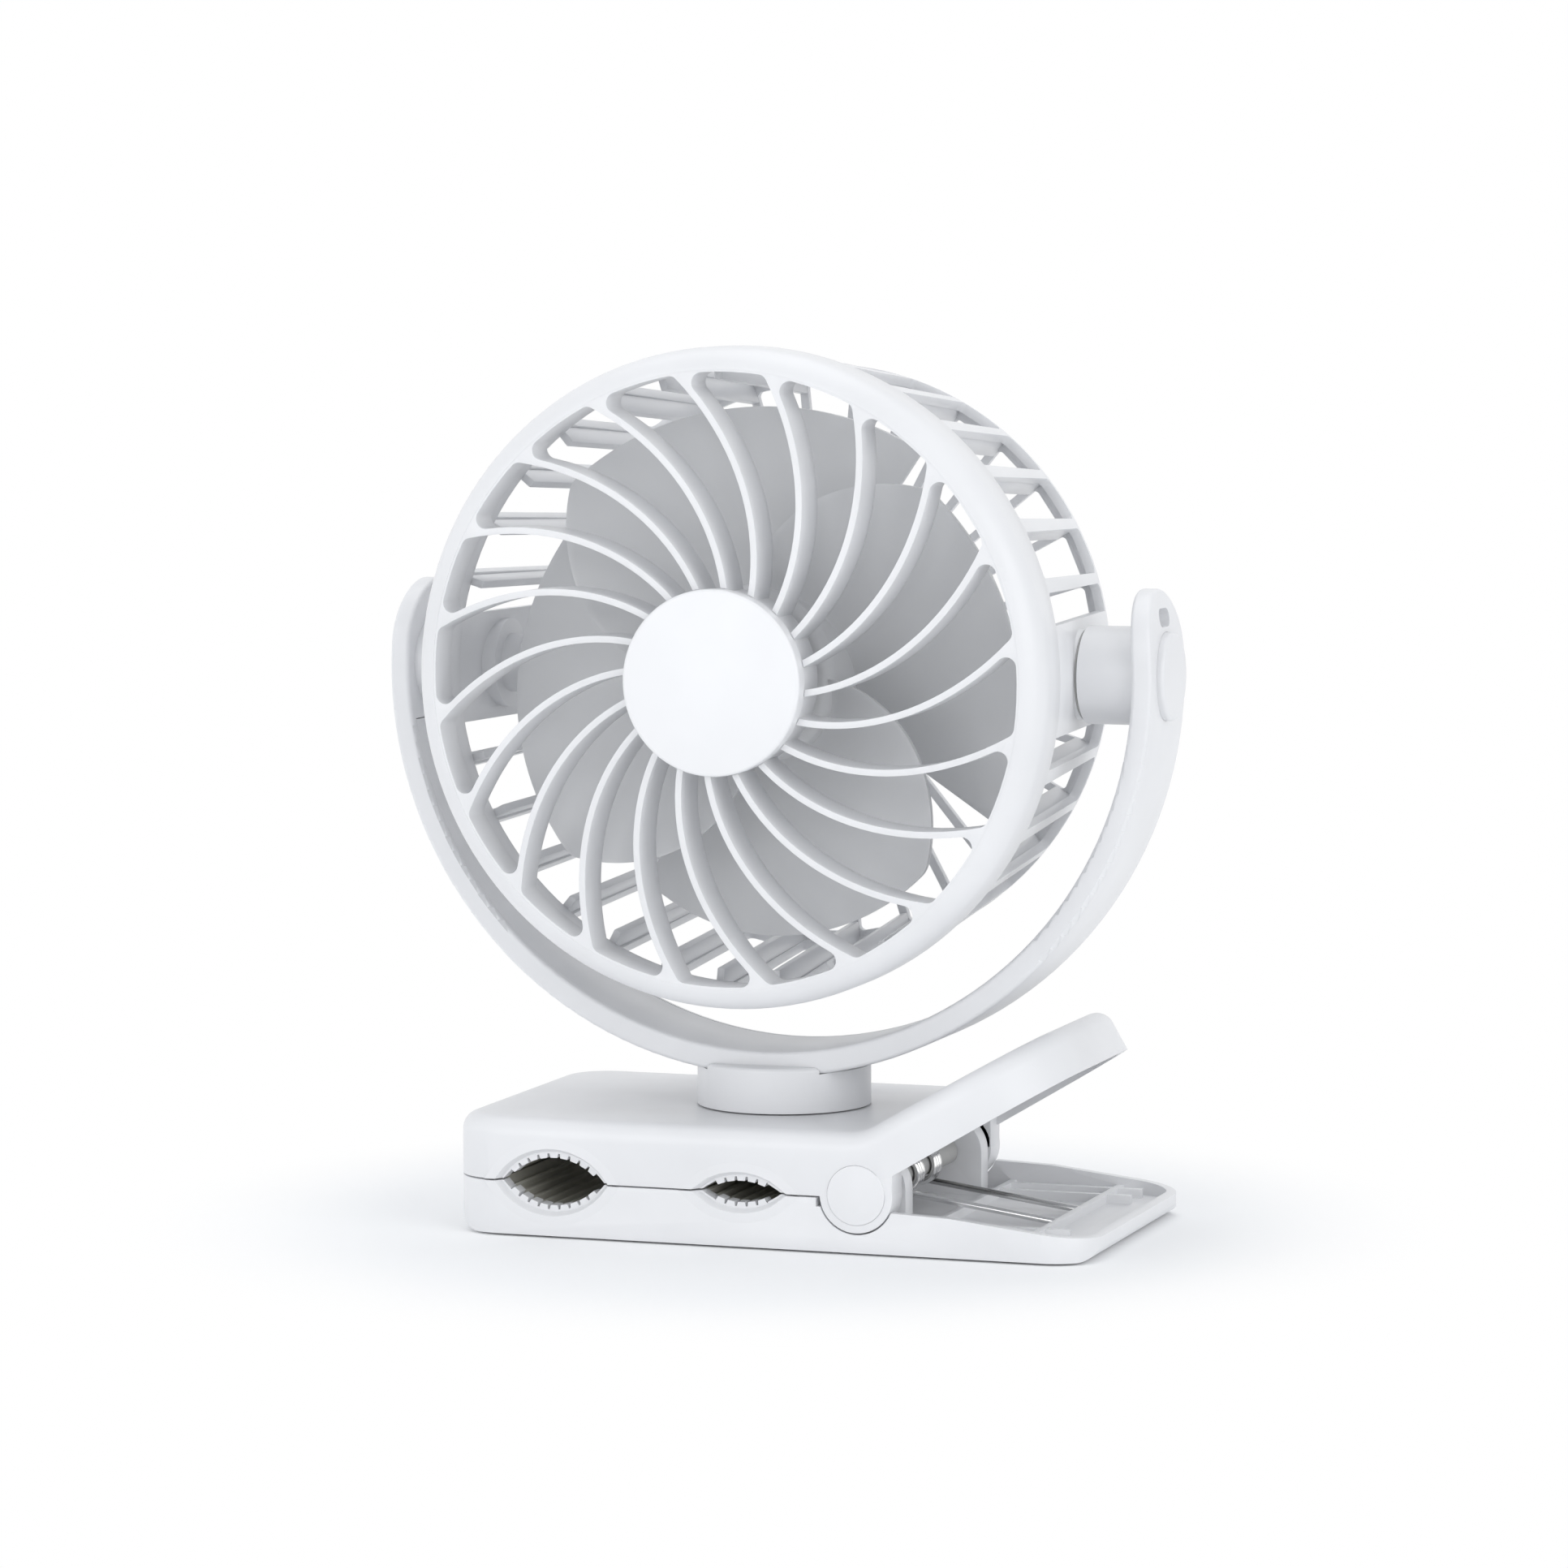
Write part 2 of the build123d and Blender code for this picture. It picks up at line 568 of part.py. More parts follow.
def torsion_spring():
    """Double coil: two legs lie in the tray and one bail lifts the handle."""
    lift = ceiling_reach() - COIL_MEAN_R - WIRE_R - SPRING_REST_GAP
    bail_lean = handle_angle() + degrees(atan(lift / BAIL_LENGTH))
    foot_z = PAD_T + FLOOR_T + WIRE_R + SPRING_REST_GAP
    leg_drop = degrees(atan((HINGE_Z - COIL_MEAN_R - foot_z) / (SPRING_LEG_END_X - HINGE_X)))
    bail_angle = 90 + bail_lean
    leg_angle = -90 - leg_drop
    turns = FULL_TURNS + ((leg_angle - bail_angle) % 360) / 360
    coil_path = Helix(COIL_PITCH, COIL_PITCH * turns, COIL_MEAN_R, lefthand=True)
    section = Plane(origin=coil_path @ 0, z_dir=coil_path % 0) * Circle(WIRE_R)
    coil = sweep(section, path=coil_path, is_frenet=True)
    axis = Plane(origin=(HINGE_X, COIL_INNER_Y, HINGE_Z), x_dir=(1, 0, 0), z_dir=(0, 1, 0))
    coil = axis * (Rot(0, 0, -bail_angle) * coil)
    outer_y = COIL_INNER_Y + COIL_PITCH * turns
    leg = wire(on_coil(leg_angle, outer_y),
               (SPRING_LEG_END_X - WIRE_R, outer_y, foot_z))
    root = on_coil(bail_angle, COIL_INNER_Y)
    tip = (root[0] + BAIL_LENGTH * cos(radians(bail_lean)), COIL_INNER_Y,
           root[2] + BAIL_LENGTH * sin(radians(bail_lean)))
    arm = wire(root, tip)
    half = coil.fuse(leg, arm)
    bridge = wire(tip, (tip[0], -tip[1], tip[2]))
    return half.fuse(mirror(half, about=Plane.XZ), bridge)


def hinge_caps():
    """Round caps that hide the pin ends."""
    cap = tube_y(HINGE_X, HINGE_Z, CAP_R, HALF_W - CAP_DEEP, HALF_W + CAP_PROUD)
    cap = fillet(cap.faces().sort_by(Axis.Y)[-1].edges(), CAP_PROUD)
    return both_sides(cap)


# ---- upper jaw with its handle -----------------------------------------------------
def handle_top(x, inset):
    """Height of the handle's top face, or of a face inset below it."""
    lift = HANDLE_TOP_AT[1] - inset / cos(radians(handle_angle()))
    return lift + HANDLE_TOP_SLOPE * (x - HANDLE_TOP_AT[0])


def deck_end_x(inset):
    """Where the flat deck meets the rising handle."""
    lift = handle_top(0, inset)
    return (TOP_Z - inset - lift) / HANDLE_TOP_SLOPE


def handle_low_x(z):
    """Where the handle's lower edge reaches a height."""
    return HANDLE_LOW_AT[0] + (z - HANDLE_LOW_AT[1]) / HANDLE_LOW_SLOPE


def handle_end(inset):
    """Top and bottom corner of the handle's square end."""
    lean = radians(handle_angle())
    depth = HANDLE_T - inset
    x_top = HANDLE_X - HANDLE_T * sin(lean) - inset * cos(lean) + inset * sin(lean)
    z_top = handle_top(x_top, inset)
    return (x_top, z_top), (x_top + depth * sin(lean), z_top - depth * cos(lean))


def handle_plan(inset):
    """Rounded end of the handle, cut square to its top face."""
    lean = handle_angle()
    x_top, z_top = handle_end(0)[0]
    plane = Plane(origin=(x_top, 0, z_top), x_dir=(cos(radians(lean)), 0, sin(radians(lean))),
                  z_dir=(-sin(radians(lean)), 0, cos(radians(lean))))
    prism = plan_prism(-2 * TAIL_X, -inset, HALF_W - inset, EDGE_ROUND,
                       HANDLE_CORNER - inset, -TAIL_X, TAIL_X)
    return plane * prism


def upper_outline():
    """Side view of the deck and handle."""
    top, low = handle_end(0)
    return [(MOUTH_X, LID_Z), (handle_low_x(LID_Z), LID_Z), low, top,
            (deck_end_x(0), TOP_Z), (MOUTH_X, TOP_Z)]


def handle_hollow():
    """Open underside of the handle, over the lugs and the spring."""
    top, low = handle_end(WALL)
    drop = TAIL_X
    outline = [(BODY_END_X, LID_Z - drop), (low[0], low[1] - drop), low, top,
               (deck_end_x(WALL), TOP_Z - WALL), (BODY_END_X, TOP_Z - WALL)]
    return side_prism(outline, HALF_W) & handle_plan(WALL)


def handle_ribs():
    """Lengthwise ribs under the handle's top wall."""
    x0, x1 = BODY_END_X - WALL / 2, handle_end(WALL)[0][0]
    ribs = []
    for y in (-HANDLE_RIB_Y, HANDLE_RIB_Y):
        outline = [(deck_end_x(0), handle_top(deck_end_x(0), WALL / 2)),
                   (x1, handle_top(x1, WALL / 2)),
                   (x1, handle_top(x1, WALL + HANDLE_RIB_H)),
                   (HINGE_X + CHEEK_R, handle_top(HINGE_X + CHEEK_R, WALL))]
        rib = side_prism(outline, HANDLE_RIB_T / 2)
        ribs.append(Pos(0, y, 0) * rib)
    return ribs


def control_openings():
    """Holes in the rear wall for the socket, the button and the lamp."""
    x, z = USB_AT
    half = USB_W / 2 + SLIP
    tall = USB_H / 2 + SLIP
    socket = slab(x - half, x + half, HALF_W - 2 * WALL, HALF_W + 1, z - tall, z + tall)
    socket = fillet(socket.edges().filter_by(Axis.Y), tall * ROUND_END)
    button = tube_y(*BUTTON_AT, BUTTON_R + RUN, HALF_W - 2 * WALL, HALF_W + 1)
    lens = tube_y(*LENS_AT, LENS_R + RUN, HALF_W - 2 * WALL, HALF_W + 1)
    return [socket, button, lens]


def stop_lug():
    """Lug under the deck that the swivel's tab runs against."""
    return slab(STOP_IN, STOP_OUT, -STOP_W / 2, STOP_W / 2, STOP_Z, SWIVEL_BOSS_Z + 1)


def upper_jaw():
    """Upper jaw: deck, battery bay, swivel bearing, hinge cheeks and handle."""
    outer = side_prism(upper_outline(), HALF_W)
    outer = round_edge_at(outer, deck_end_x(0), TOP_Z, BEND_R)
    outer = outer & plan_prism(MOUTH_X, TAIL_X, HALF_W, MOUTH_CORNER, EDGE_ROUND, 0, TAIL_X)
    outer = outer & handle_plan(0)
    outer = fillet(top_rim(outer), TOP_ROUND)
    shell = outer - jaw_cavity(LID_Z - 1, TOP_Z - WALL, True) - handle_hollow()
    extras = handle_ribs() + [stop_lug(), tube_z(0, 0, SWIVEL_BOSS_R, SWIVEL_BOSS_Z,
                                                 TOP_Z - WALL / 2)]
    for y in SCREW_Y:
        extras.append(tube_z(BAY_X, y, SCREW_BOSS_R, BAY_Z, TOP_Z - WALL / 2))
    cheek = tube_y(HINGE_X, HINGE_Z, CHEEK_R, CHEEK_IN, HALF_W)
    shell = shell.fuse(*extras, cheek, mirror(cheek, about=Plane.XZ))
    shell = shell - tube_z(0, 0, SWIVEL_R + RUN, SWIVEL_BOSS_Z - 1, TOP_Z + 1)
    for y in SCREW_Y:
        shell = shell - tube_z(BAY_X, y, SCREW_R, BAY_Z - 1, TOP_Z - 2 * WALL)
    shell = shell - tube_y(HINGE_X, HINGE_Z, PIN_R + RUN, -HALF_W, HALF_W)
    caps = tube_y(HINGE_X, HINGE_Z, CAP_R + RUN, HALF_W - CAP_DEEP, HALF_W + 1)
    shell = (shell - both_sides(caps)).cut(*control_openings())
    for hole in HOLES:
        shell = cut_grip(shell, *hole, True)
    return shell


def top_rim(solid):
    """Edges round the deck and the handle's top face, without the bend lines."""
    ends = (MOUTH_X, handle_end(0)[0][0])
    rim = []
    for edge in solid.edges():
        middle = edge.position_at(0.5)
        across = abs(middle.X - edge.position_at(0).X) < 1e-6
        at_end = min(abs(middle.X - x) for x in ends) < 1e-3
        on_top = middle.Z > max(TOP_Z, handle_top(middle.X, EDGE_ROUND)) - 1e-3
        if on_top and (at_end or not across):
            rim.append(edge)
    return rim


# ---- pieces inside the upper jaw -----------------------------------------------------
def jaw_plate():
    """Plate that closes the battery bay from below, between the grip holes."""
    half = HALF_W - WALL - SLIP
    plate = slab(BAY_X - BAY_HALF_X, BAY_X + BAY_HALF_X, -half, half, LID_Z, BAY_Z - REST)
    for x, half_chord, rise in HOLES:
        plate = plate - arc_bar(x, half_chord, rise, True, LINER_T + CARRIER_T + SLIP, HALF_W)
    for y in SCREW_Y:
        plate = plate - tube_z(BAY_X, y, SCREW_R + SLIP, 0, BAY_Z)
        plate = plate - tube_z(BAY_X, y, SCREW_HEAD_R + SLIP, 0, LID_Z + SCREW_HEAD_T)
    return plate


def jaw_screws():
    """Two screws that hold the plate."""
    screws = []
    for y in SCREW_Y:
        head = tube_z(BAY_X, y, SCREW_HEAD_R, LID_Z + REST, LID_Z + SCREW_HEAD_T)
        shank = tube_z(BAY_X, y, SCREW_R - RUN, LID_Z + REST, TOP_Z - 2 * WALL - 1)
        screws.append(head + shank)
    return Compound(children=screws)


def battery():
    """Flat cell that lies on the plate."""
    z0 = BAY_Z
    cell = slab(BAY_X - BATTERY_HALF_X, BAY_X + BATTERY_HALF_X, *BATTERY_Y, z0, z0 + BATTERY_H)
    return fillet(cell.edges().filter_by(Axis.Y), BATTERY_ROUND)


def control_board():
    """Upright board behind the controls, with its switch."""
    z0 = BAY_Z
    width, height = BOARD_SIZE
    board = slab(BAY_X - width / 2, BAY_X + width / 2, BOARD_Y, BOARD_Y + BOARD_T,
                 z0, z0 + height)
    face = BOARD_Y + BOARD_T
    return board + tube_y(*BUTTON_AT, BUTTON_R / 2, face - 0.2, face + SWITCH_H)


def usb_socket():
    """Charging socket on the board: a shell with a tongue inside."""
    x, z = USB_AT
    y0, y1 = BOARD_Y + BOARD_T, BOARD_Y + BOARD_T + USB_DEEP - USB_INSET
    shell = slab(x - USB_W / 2, x + USB_W / 2, y0, y1, z - USB_H / 2, z + USB_H / 2)
    shell = fillet(shell.edges().filter_by(Axis.Y), USB_H / 2 * ROUND_END)
    half, tall = USB_W / 2 - USB_SKIN, USB_H / 2 - USB_SKIN
    mouth = slab(x - half, x + half, y0 + 1, y1 + 1, z - tall, z + tall)
    mouth = fillet(mouth.edges().filter_by(Axis.Y), tall * ROUND_END)
    tongue = slab(x - half * 0.75, x + half * 0.75, y0, y1 - 1, z - USB_TONGUE / 2,
                  z + USB_TONGUE / 2)
    return shell - mouth + tongue


def indicator_lens():
    """Light pipe from the board to the rear wall."""
    return tube_y(*LENS_AT, LENS_R, BOARD_Y + BOARD_T + REST, HALF_W + REST)


def power_button():
    """Push button that slides through the rear wall onto the switch."""
    flange_r, flange_t = BUTTON_FLANGE
    seat = HALF_W - WALL - REST
    stem_end = BOARD_Y + BOARD_T + SWITCH_H + BUTTON_TRAVEL + REST
    button = tube_y(*BUTTON_AT, BUTTON_R, seat - flange_t, HALF_W + BUTTON_PROUD)
    button = fillet(button.faces().sort_by(Axis.Y)[-1].edges(), BUTTON_PROUD / 2)
    button = button + tube_y(*BUTTON_AT, flange_r, seat - flange_t, seat)
    return button + tube_y(*BUTTON_AT, BUTTON_R / 2, stem_end, seat)


# ---- yoke and swivel --------------------------------------------------------------------
def yoke_outer():
    """Bar whose surface is the outside of the yoke's bow."""
    return tube_y(0, PIVOT_Z - YOKE_DROP, YOKE_OUT_R, -YOKE_HALF, YOKE_HALF)


def ear_outline():
    """Side view of the yoke: straight arms with round ends, as a long bar."""
    far = 2 * YOKE_OUT_R
    arc_z = EAR_TOP_Z - YOKE_HALF
    return tube_x(0, arc_z, YOKE_HALF, -far, far) + slab(
        -far, far, -YOKE_HALF, YOKE_HALF, -far, arc_z)


def mirrored_x(piece):
    """A piece together with its mirror image across the middle."""
    return piece + mirror(piece, about=Plane.YZ)


def yoke():
    """Bow with two eared arms, an open wire channel and inward pivot bosses."""
    bow = yoke_outer() - tube_y(0, PIVOT_Z, YOKE_IN_R, -YOKE_HALF, YOKE_HALF)
    bow = bow & ear_outline()
    rims = [e for e in bow.edges() if abs(e.position_at(0.5).X - e.position_at(0).X) > 1e-3
            and e.length > 2 * YOKE_HALF]
    bow = fillet(rims, YOKE_ROUND)
    channel = tube_y(0, PIVOT_Z, CHANNEL_R, -CHANNEL_HALF, CHANNEL_HALF)
    far = 2 * YOKE_OUT_R
    bow = bow - (channel & slab(-far, far, -far, far, 0, CHANNEL_TOP_Z))
    boss = tube_x(0, PIVOT_Z, PIVOT_BOSS_R, PIVOT_BOSS_X, YOKE_IN_R + YOKE_ROUND)
    bow = bow + mirrored_x(boss)
    bore = tube_x(0, PIVOT_Z, PIVOT_PIN_R + RUN, PIVOT_BOSS_X - 1, far)
    bore = bore + tube_x(0, PIVOT_Z, PIVOT_HEAD_R + SLIP, PIVOT_SEAT_X, far)
    bore = bore + tube_x(0, PIVOT_Z, PIVOT_CAP_R + RUN, PIVOT_CAP_X, far)
    slot = slab(YOKE_IN_R - SLOT_SPARE, far, -SLOT_W / 2, SLOT_W / 2, SLOT_Z - SLOT_H / 2,
                SLOT_Z + SLOT_H / 2)
    slot = fillet(slot.edges().filter_by(Axis.X), SLOT_H / 2 * ROUND_END)
    bow = bow - mirrored_x(bore) - mirrored_x(slot)
    for y in (-YOKE_SCREW_Y, YOKE_SCREW_Y):
        bow = bow - tube_z(0, y, YOKE_SCREW_R + RUN, 0, PIVOT_Z)
    return bow


def yoke_cover():
    """Strip that closes the wire channel, flush with the inside of the bow."""
    half = CHANNEL_HALF - SLIP
    strip = tube_y(0, PIVOT_Z, YOKE_IN_R + COVER_T, -half, half)
    strip = strip - tube_y(0, PIVOT_Z, YOKE_IN_R, -half, half)
    far = 2 * YOKE_OUT_R
    return strip & slab(-far, far, -far, far, 0, CHANNEL_TOP_Z - SLIP)


def swivel_drum():
    """Round foot of the yoke with a saddle on top and a hollow axle below."""
    drum = tube_z(0, 0, DRUM_R, TOP_Z + DRUM_LIFT, DRUM_LIP_Z)
    drum = fillet(drum.faces().sort_by(Axis.Z)[-1].edges(), YOKE_ROUND)
    saddle = YOKE_HALF + SLIP
    drum = drum - slab(-DRUM_R, DRUM_R, -saddle, saddle, DRUM_TOP_Z, DRUM_LIP_Z + 1)
    drum = drum - tube_y(0, PIVOT_Z - YOKE_DROP, YOKE_OUT_R + RUN, -saddle, saddle)
    drum = drum - (tube_z(0, 0, DRUM_CORE[1], 0, DRUM_CORE_Z) -
                   tube_z(0, 0, DRUM_CORE[0], 0, DRUM_CORE_Z))
    drum = drum + tube_z(0, 0, SWIVEL_R, SWIVEL_BOSS_Z - DRUM_LIFT, TOP_Z + 1)
    drum = drum - tube_z(0, 0, DRUM_BORE_R, 0, PIVOT_Z)
    for y in (-YOKE_SCREW_Y, YOKE_SCREW_Y):
        drum = drum - tube_z(0, y, YOKE_SCREW_R + RUN, YOKE_SCREW_LOW_Z - REST, PIVOT_Z)
    for spot in fix_spots():
        drum = drum - Pos(*spot, 0) * tube_z(0, 0, FIX_R + RUN, 0,
                                            SWIVEL_BOSS_Z + FIX_UP)
    return drum


def fix_spots():
    """Plan positions of the three screws under the swivel axle."""
    return [(FIX_RING_R * cos(radians(a)), FIX_RING_R * sin(radians(a)))
            for a in FIX_ANGLES]


def yoke_screws():
    """Two screws in the wire channel that hold the bow on its foot."""
    head_r, head_t = YOKE_SCREW_HEAD
    seat = PIVOT_Z - CHANNEL_R
    screws = []
    for y in (-YOKE_SCREW_Y, YOKE_SCREW_Y):
        head = tube_z(0, y, head_r, seat + RUN, seat + RUN + head_t)
        screws.append(head + tube_z(0, y, YOKE_SCREW_R, YOKE_SCREW_LOW_Z, seat + 1))
    return Compound(children=screws)


def swivel_washer():
    """Washer under the deck that keeps the axle in, with the stop tab."""
    top = SWIVEL_BOSS_Z - DRUM_LIFT
    washer = tube_z(0, 0, WASHER_R, top - WASHER_T, top)
    washer = washer + slab(-STOP_OUT, 0, -TAB_W / 2, TAB_W / 2, top - WASHER_T, top)
    washer = washer - tube_z(0, 0, DRUM_BORE_R, 0, TOP_Z)
    for spot in fix_spots():
        washer = washer - Pos(*spot, 0) * tube_z(0, 0, FIX_R + RUN, 0, TOP_Z)
    return washer


def swivel_screws():
    """Three small screws that hold the washer to the axle."""
    low = SWIVEL_BOSS_Z - DRUM_LIFT - WASHER_T
    screws = []
    for spot in fix_spots():
        head = tube_z(0, 0, FIX_HEAD[0], low - FIX_HEAD[1], low)
        shank = tube_z(0, 0, FIX_R, low - REST, SWIVEL_BOSS_Z + FIX_UP - REST)
        screws.append(Pos(*spot, 0) * (head + shank))
    return Compound(children=screws)


def pivot_caps():
    """Round caps that hide the pivot screws."""
    cap = tube_x(0, PIVOT_Z, PIVOT_CAP_R, PIVOT_CAP_X + RUN, PIVOT_CAP_OUT_X)
    cap = fillet(cap.faces().sort_by(Axis.X)[-1].edges(), PIVOT_CAP_ROUND)
    return mirrored_x(cap)


# ---- head: its own axis is local Z, the air leaves along +Z ------------------------------
def turned(points):
    """Solid of revolution about local Z from radius and height pairs."""
    outline = make_face(Polyline(*[(r, z) for r, z in points], close=True))
    return revolve(Plane.XZ * outline, Axis.Z)


def disc(radius, z0, z1):
    """Disc about local Z."""
    return tube_z(0, 0, radius, z0, z1)


def spun(piece, count, offset=0.0):
    """Copies of a piece at even angles about local Z."""
    return [Rot(0, 0, offset + number * 360 / count) * piece for number in range(count)]


def housing_walls():
    """Tapered drum with a flat rear face and a spigot in front."""
    outer = turned([(0, SHELL_REAR), (SHELL_REAR_R, SHELL_REAR),
                    (SHELL_FRONT_R, SHELL_FRONT), (SPIGOT_R, SHELL_FRONT),
                    (SPIGOT_R, SPIGOT_END), (0, SPIGOT_END)])
    outer = fillet(outer.faces().sort_by(Axis.Z)[0].edges(), SHELL_ROUND)
    wall = SHELL_WALL
    inner = turned([(0, SHELL_REAR + wall), (SHELL_REAR_R - wall, SHELL_REAR + wall),
                    (SHELL_FRONT_R - wall, SPIGOT_START), (SPIGOT_R - wall, SPIGOT_START),
                    (SPIGOT_R - wall, SPIGOT_END + 1), (0, SPIGOT_END + 1)])
    inner = fillet(inner.faces().sort_by(Axis.Z)[0].edges(), SHELL_ROUND - wall)
    return outer - inner


def side_windows():
    """Cutters between the bars of the housing's side, none at the pivots."""
    pitch = radians(360 / WINDOWS)
    width = 2 * SPIGOT_R * tan(pitch / 2) - BAR_W
    far = 2 * SHELL_FRONT_R
    cutter = slab(WINDOW_NEAR_R, SHELL_FRONT_R + 1, -width / 2, width / 2,
                  WINDOW_REAR, SPIGOT_START)
    cutter = fillet(cutter.edges().filter_by(Axis.X), WINDOW_ROUND)
    blank = slab(-far, far, -PIVOT_BLANK, PIVOT_BLANK, -far, far)
    half = WINDOWS // 2
    windows = []
    for number, window in enumerate(spun(cutter, WINDOWS)):
        if number % half in (1, half - 1):
            windows.append(window - blank)
        elif number % half:
            windows.append(window)
    return windows


def rear_windows():
    """Cutters between the spokes of the rear face."""
    half_pitch = tan(radians(180 / WINDOWS))
    inner = SPOKE_IN_R * half_pitch - SPOKE_W / 2
    outer = SPOKE_OUT_R * half_pitch - SPOKE_W / 2
    outline = make_face(Polyline((SPOKE_IN_R, -inner), (SPOKE_OUT_R, -outer),
                                 (SPOKE_OUT_R, outer), (SPOKE_IN_R, inner), close=True))
    outline = fillet(outline.vertices(), inner * 0.8)
    cutter = Pos(0, 0, SHELL_REAR - 1) * extrude(outline, amount=SHELL_WALL + 2)
    return spun(cutter, WINDOWS)


def rear_housing():
    """Windowed rear housing of the head, with a collar and socket at each pivot."""
    shell = HEAD * housing_walls().cut(*side_windows(), *rear_windows())
    collar = tube_x(0, PIVOT_Z, COLLAR_R, SOCKET_X + SHELL_WALL * 2, COLLAR_X)
    socket = tube_x(0, PIVOT_Z, SOCKET_R, SOCKET_X, COLLAR_X)
    shell = shell + mirrored_x(collar + socket)
    return shell - mirrored_x(tube_x(0, PIVOT_Z, PIVOT_PIN_R + RUN, SOCKET_X - 1, YOKE_IN_R))


def rib_point(radius, side):
    """Point on one side of the rib's bar as seen from the front."""
    turn = radians(RIB_TURN)
    angle = radians(RIB_ANGLE) + turn * (radius - RIB_ANGLE_R)
    lean = angle + atan(radius * turn)
    half = side * RIB_W / 2
    return (radius * cos(angle) - half * sin(lean), radius * sin(angle) + half * cos(lean))


def rib_side(side):
    """Spiral edge of a rib from the hub to the bezel."""
    inner, outer = HUB_IN_R + 1, OPENING_R + 2
    radii = [inner + (outer - inner) * step / 4 for step in range(5)]
    return Spline(*[rib_point(radius, side) for radius in radii])


def cell():
    """Opening between two ribs, with its corners rounded."""
    near = rib_side(1)
    far = Rot(0, 0, 360 / RIBS) * rib_side(-1)
    outline = make_face([near, Line(near @ 1, far @ 1), far, Line(far @ 0, near @ 0)])
    ring = Circle(OPENING_R) - Circle(HUB_OUT_R)
    opening = outline & ring
    outer = [v for v in opening.vertices() if Vector(*v).length > OPENING_R - 1]
    opening = fillet(outer, CELL_ROUND)
    return Pos(0, 0, SPIGOT_END) * extrude(opening, amount=CAP_FRONT - SPIGOT_END)


def rib_space():
    """Slightly domed disc that the ribs are trimmed to."""
    trim_r = OPENING_R + RIB_SPARE
    back = Line((0, RIB_BACK_IN), (trim_r, RIB_BACK_OUT))
    edge_z = BEZEL_ARC_Z + sqrt(BEZEL_ARC ** 2 - (OPENING_R - BEZEL_R + BEZEL_ARC) ** 2)
    outer = (trim_r, edge_z - RIB_BEDDED)
    rim = Line(back @ 1, outer)
    middle = ((HUB_OUT_R + RIB_ANGLE_R) / 2, RIB_FRONT_MID)
    front = ThreePointArc(outer, middle, (HUB_OUT_R, RIB_FRONT_IN))
    top = Line(front @ 1, (0, RIB_FRONT_IN))
    outline = make_face([back, rim, front, top, Line(top @ 1, back @ 0)])
    return revolve(Plane.XZ * outline, Axis.Z)


def bezel():
    """Rounded rim of the grille with a skirt over the housing's spigot."""
    arc_r = BEZEL_R - BEZEL_ARC
    inner = OPENING_R + LIP
    edge_z = BEZEL_ARC_Z + sqrt(BEZEL_ARC ** 2 - (inner - arc_r) ** 2)
    lean = radians(45)
    middle = (arc_r + BEZEL_ARC * cos(lean), BEZEL_ARC_Z + BEZEL_ARC * sin(lean))
    outer = Line((BEZEL_R, SHELL_FRONT), (BEZEL_R, BEZEL_ARC_Z))
    crown = ThreePointArc(outer @ 1, middle, (inner, edge_z))
    wall_in = Line(crown @ 1, (inner, SPIGOT_END + BEZEL_FIT))
    foot = Line(wall_in @ 1, (SPIGOT_R + BEZEL_FIT, SPIGOT_END + BEZEL_FIT))
    skirt = Line(foot @ 1, (SPIGOT_R + BEZEL_FIT, SHELL_FRONT))
    outline = make_face([outer, crown, wall_in, foot, skirt, Line(skirt @ 1, outer @ 0)])
    ring = revolve(Plane.XZ * outline, Axis.Z)
    pocket_out, pocket_in = SPIGOT_R + BEZEL_FIT, inner + SHELL_WALL
    return ring - (disc(pocket_out, SHELL_FRONT, BEZEL_POCKET) -
                   disc(pocket_in, SHELL_FRONT, BEZEL_POCKET))


def front_grille():
    """Front grille: bezel, spiral ribs and the ring that takes the centre cap."""
    web = rib_space() & disc(OPENING_R + 2 * LIP, SPIGOT_END, CAP_FRONT)
    web = web - disc(HUB_IN_R, 0, CAP_FRONT)
    web = web - disc(CAP_DISC_R + SLIP, CAP_BACK, CAP_FRONT + 1)
    web = web.cut(*spun(cell(), RIBS))
    floor = disc(HUB_IN_R + 1, RIB_BACK_IN, RIB_BACK_IN + HUB_FLOOR)
    return HEAD * bezel().fuse(web, floor)


def centre_cap():
    """Plain disc over the middle of the grille, with a ring that snaps in."""
    cap = disc(CAP_DISC_R, CAP_BACK, CAP_FRONT)
    cap = fillet(cap.faces().sort_by(Axis.Z)[-1].edges(), CAP_ROUND)
    ring_in, ring_back = CAP_SPIGOT
    ring = disc(HUB_IN_R - SLIP, ring_back, CAP_BACK + 1) - disc(ring_in, ring_back, CAP_BACK)
    return HEAD * (cap + ring)


def pivot_screws():
    """Two shoulder screws that the head tilts on."""
    head_end = PIVOT_SEAT_X + REST + PIVOT_HEAD_T
    screw = tube_x(0, PIVOT_Z, PIVOT_PIN_R, PIN_IN_X, PIVOT_SEAT_X + 1)
    screw = screw + tube_x(0, PIVOT_Z, PIVOT_HEAD_R, PIVOT_SEAT_X + REST, head_end)
    return mirrored_x(screw)


def pivot_washers():
    """Friction ring between the head and the yoke at each pivot."""
    ring = tube_x(0, PIVOT_Z, RING_R, COLLAR_X, COLLAR_X + RING_T)
    return mirrored_x(ring - tube_x(0, PIVOT_Z, PIVOT_PIN_R + RUN, COLLAR_X, YOKE_IN_R))


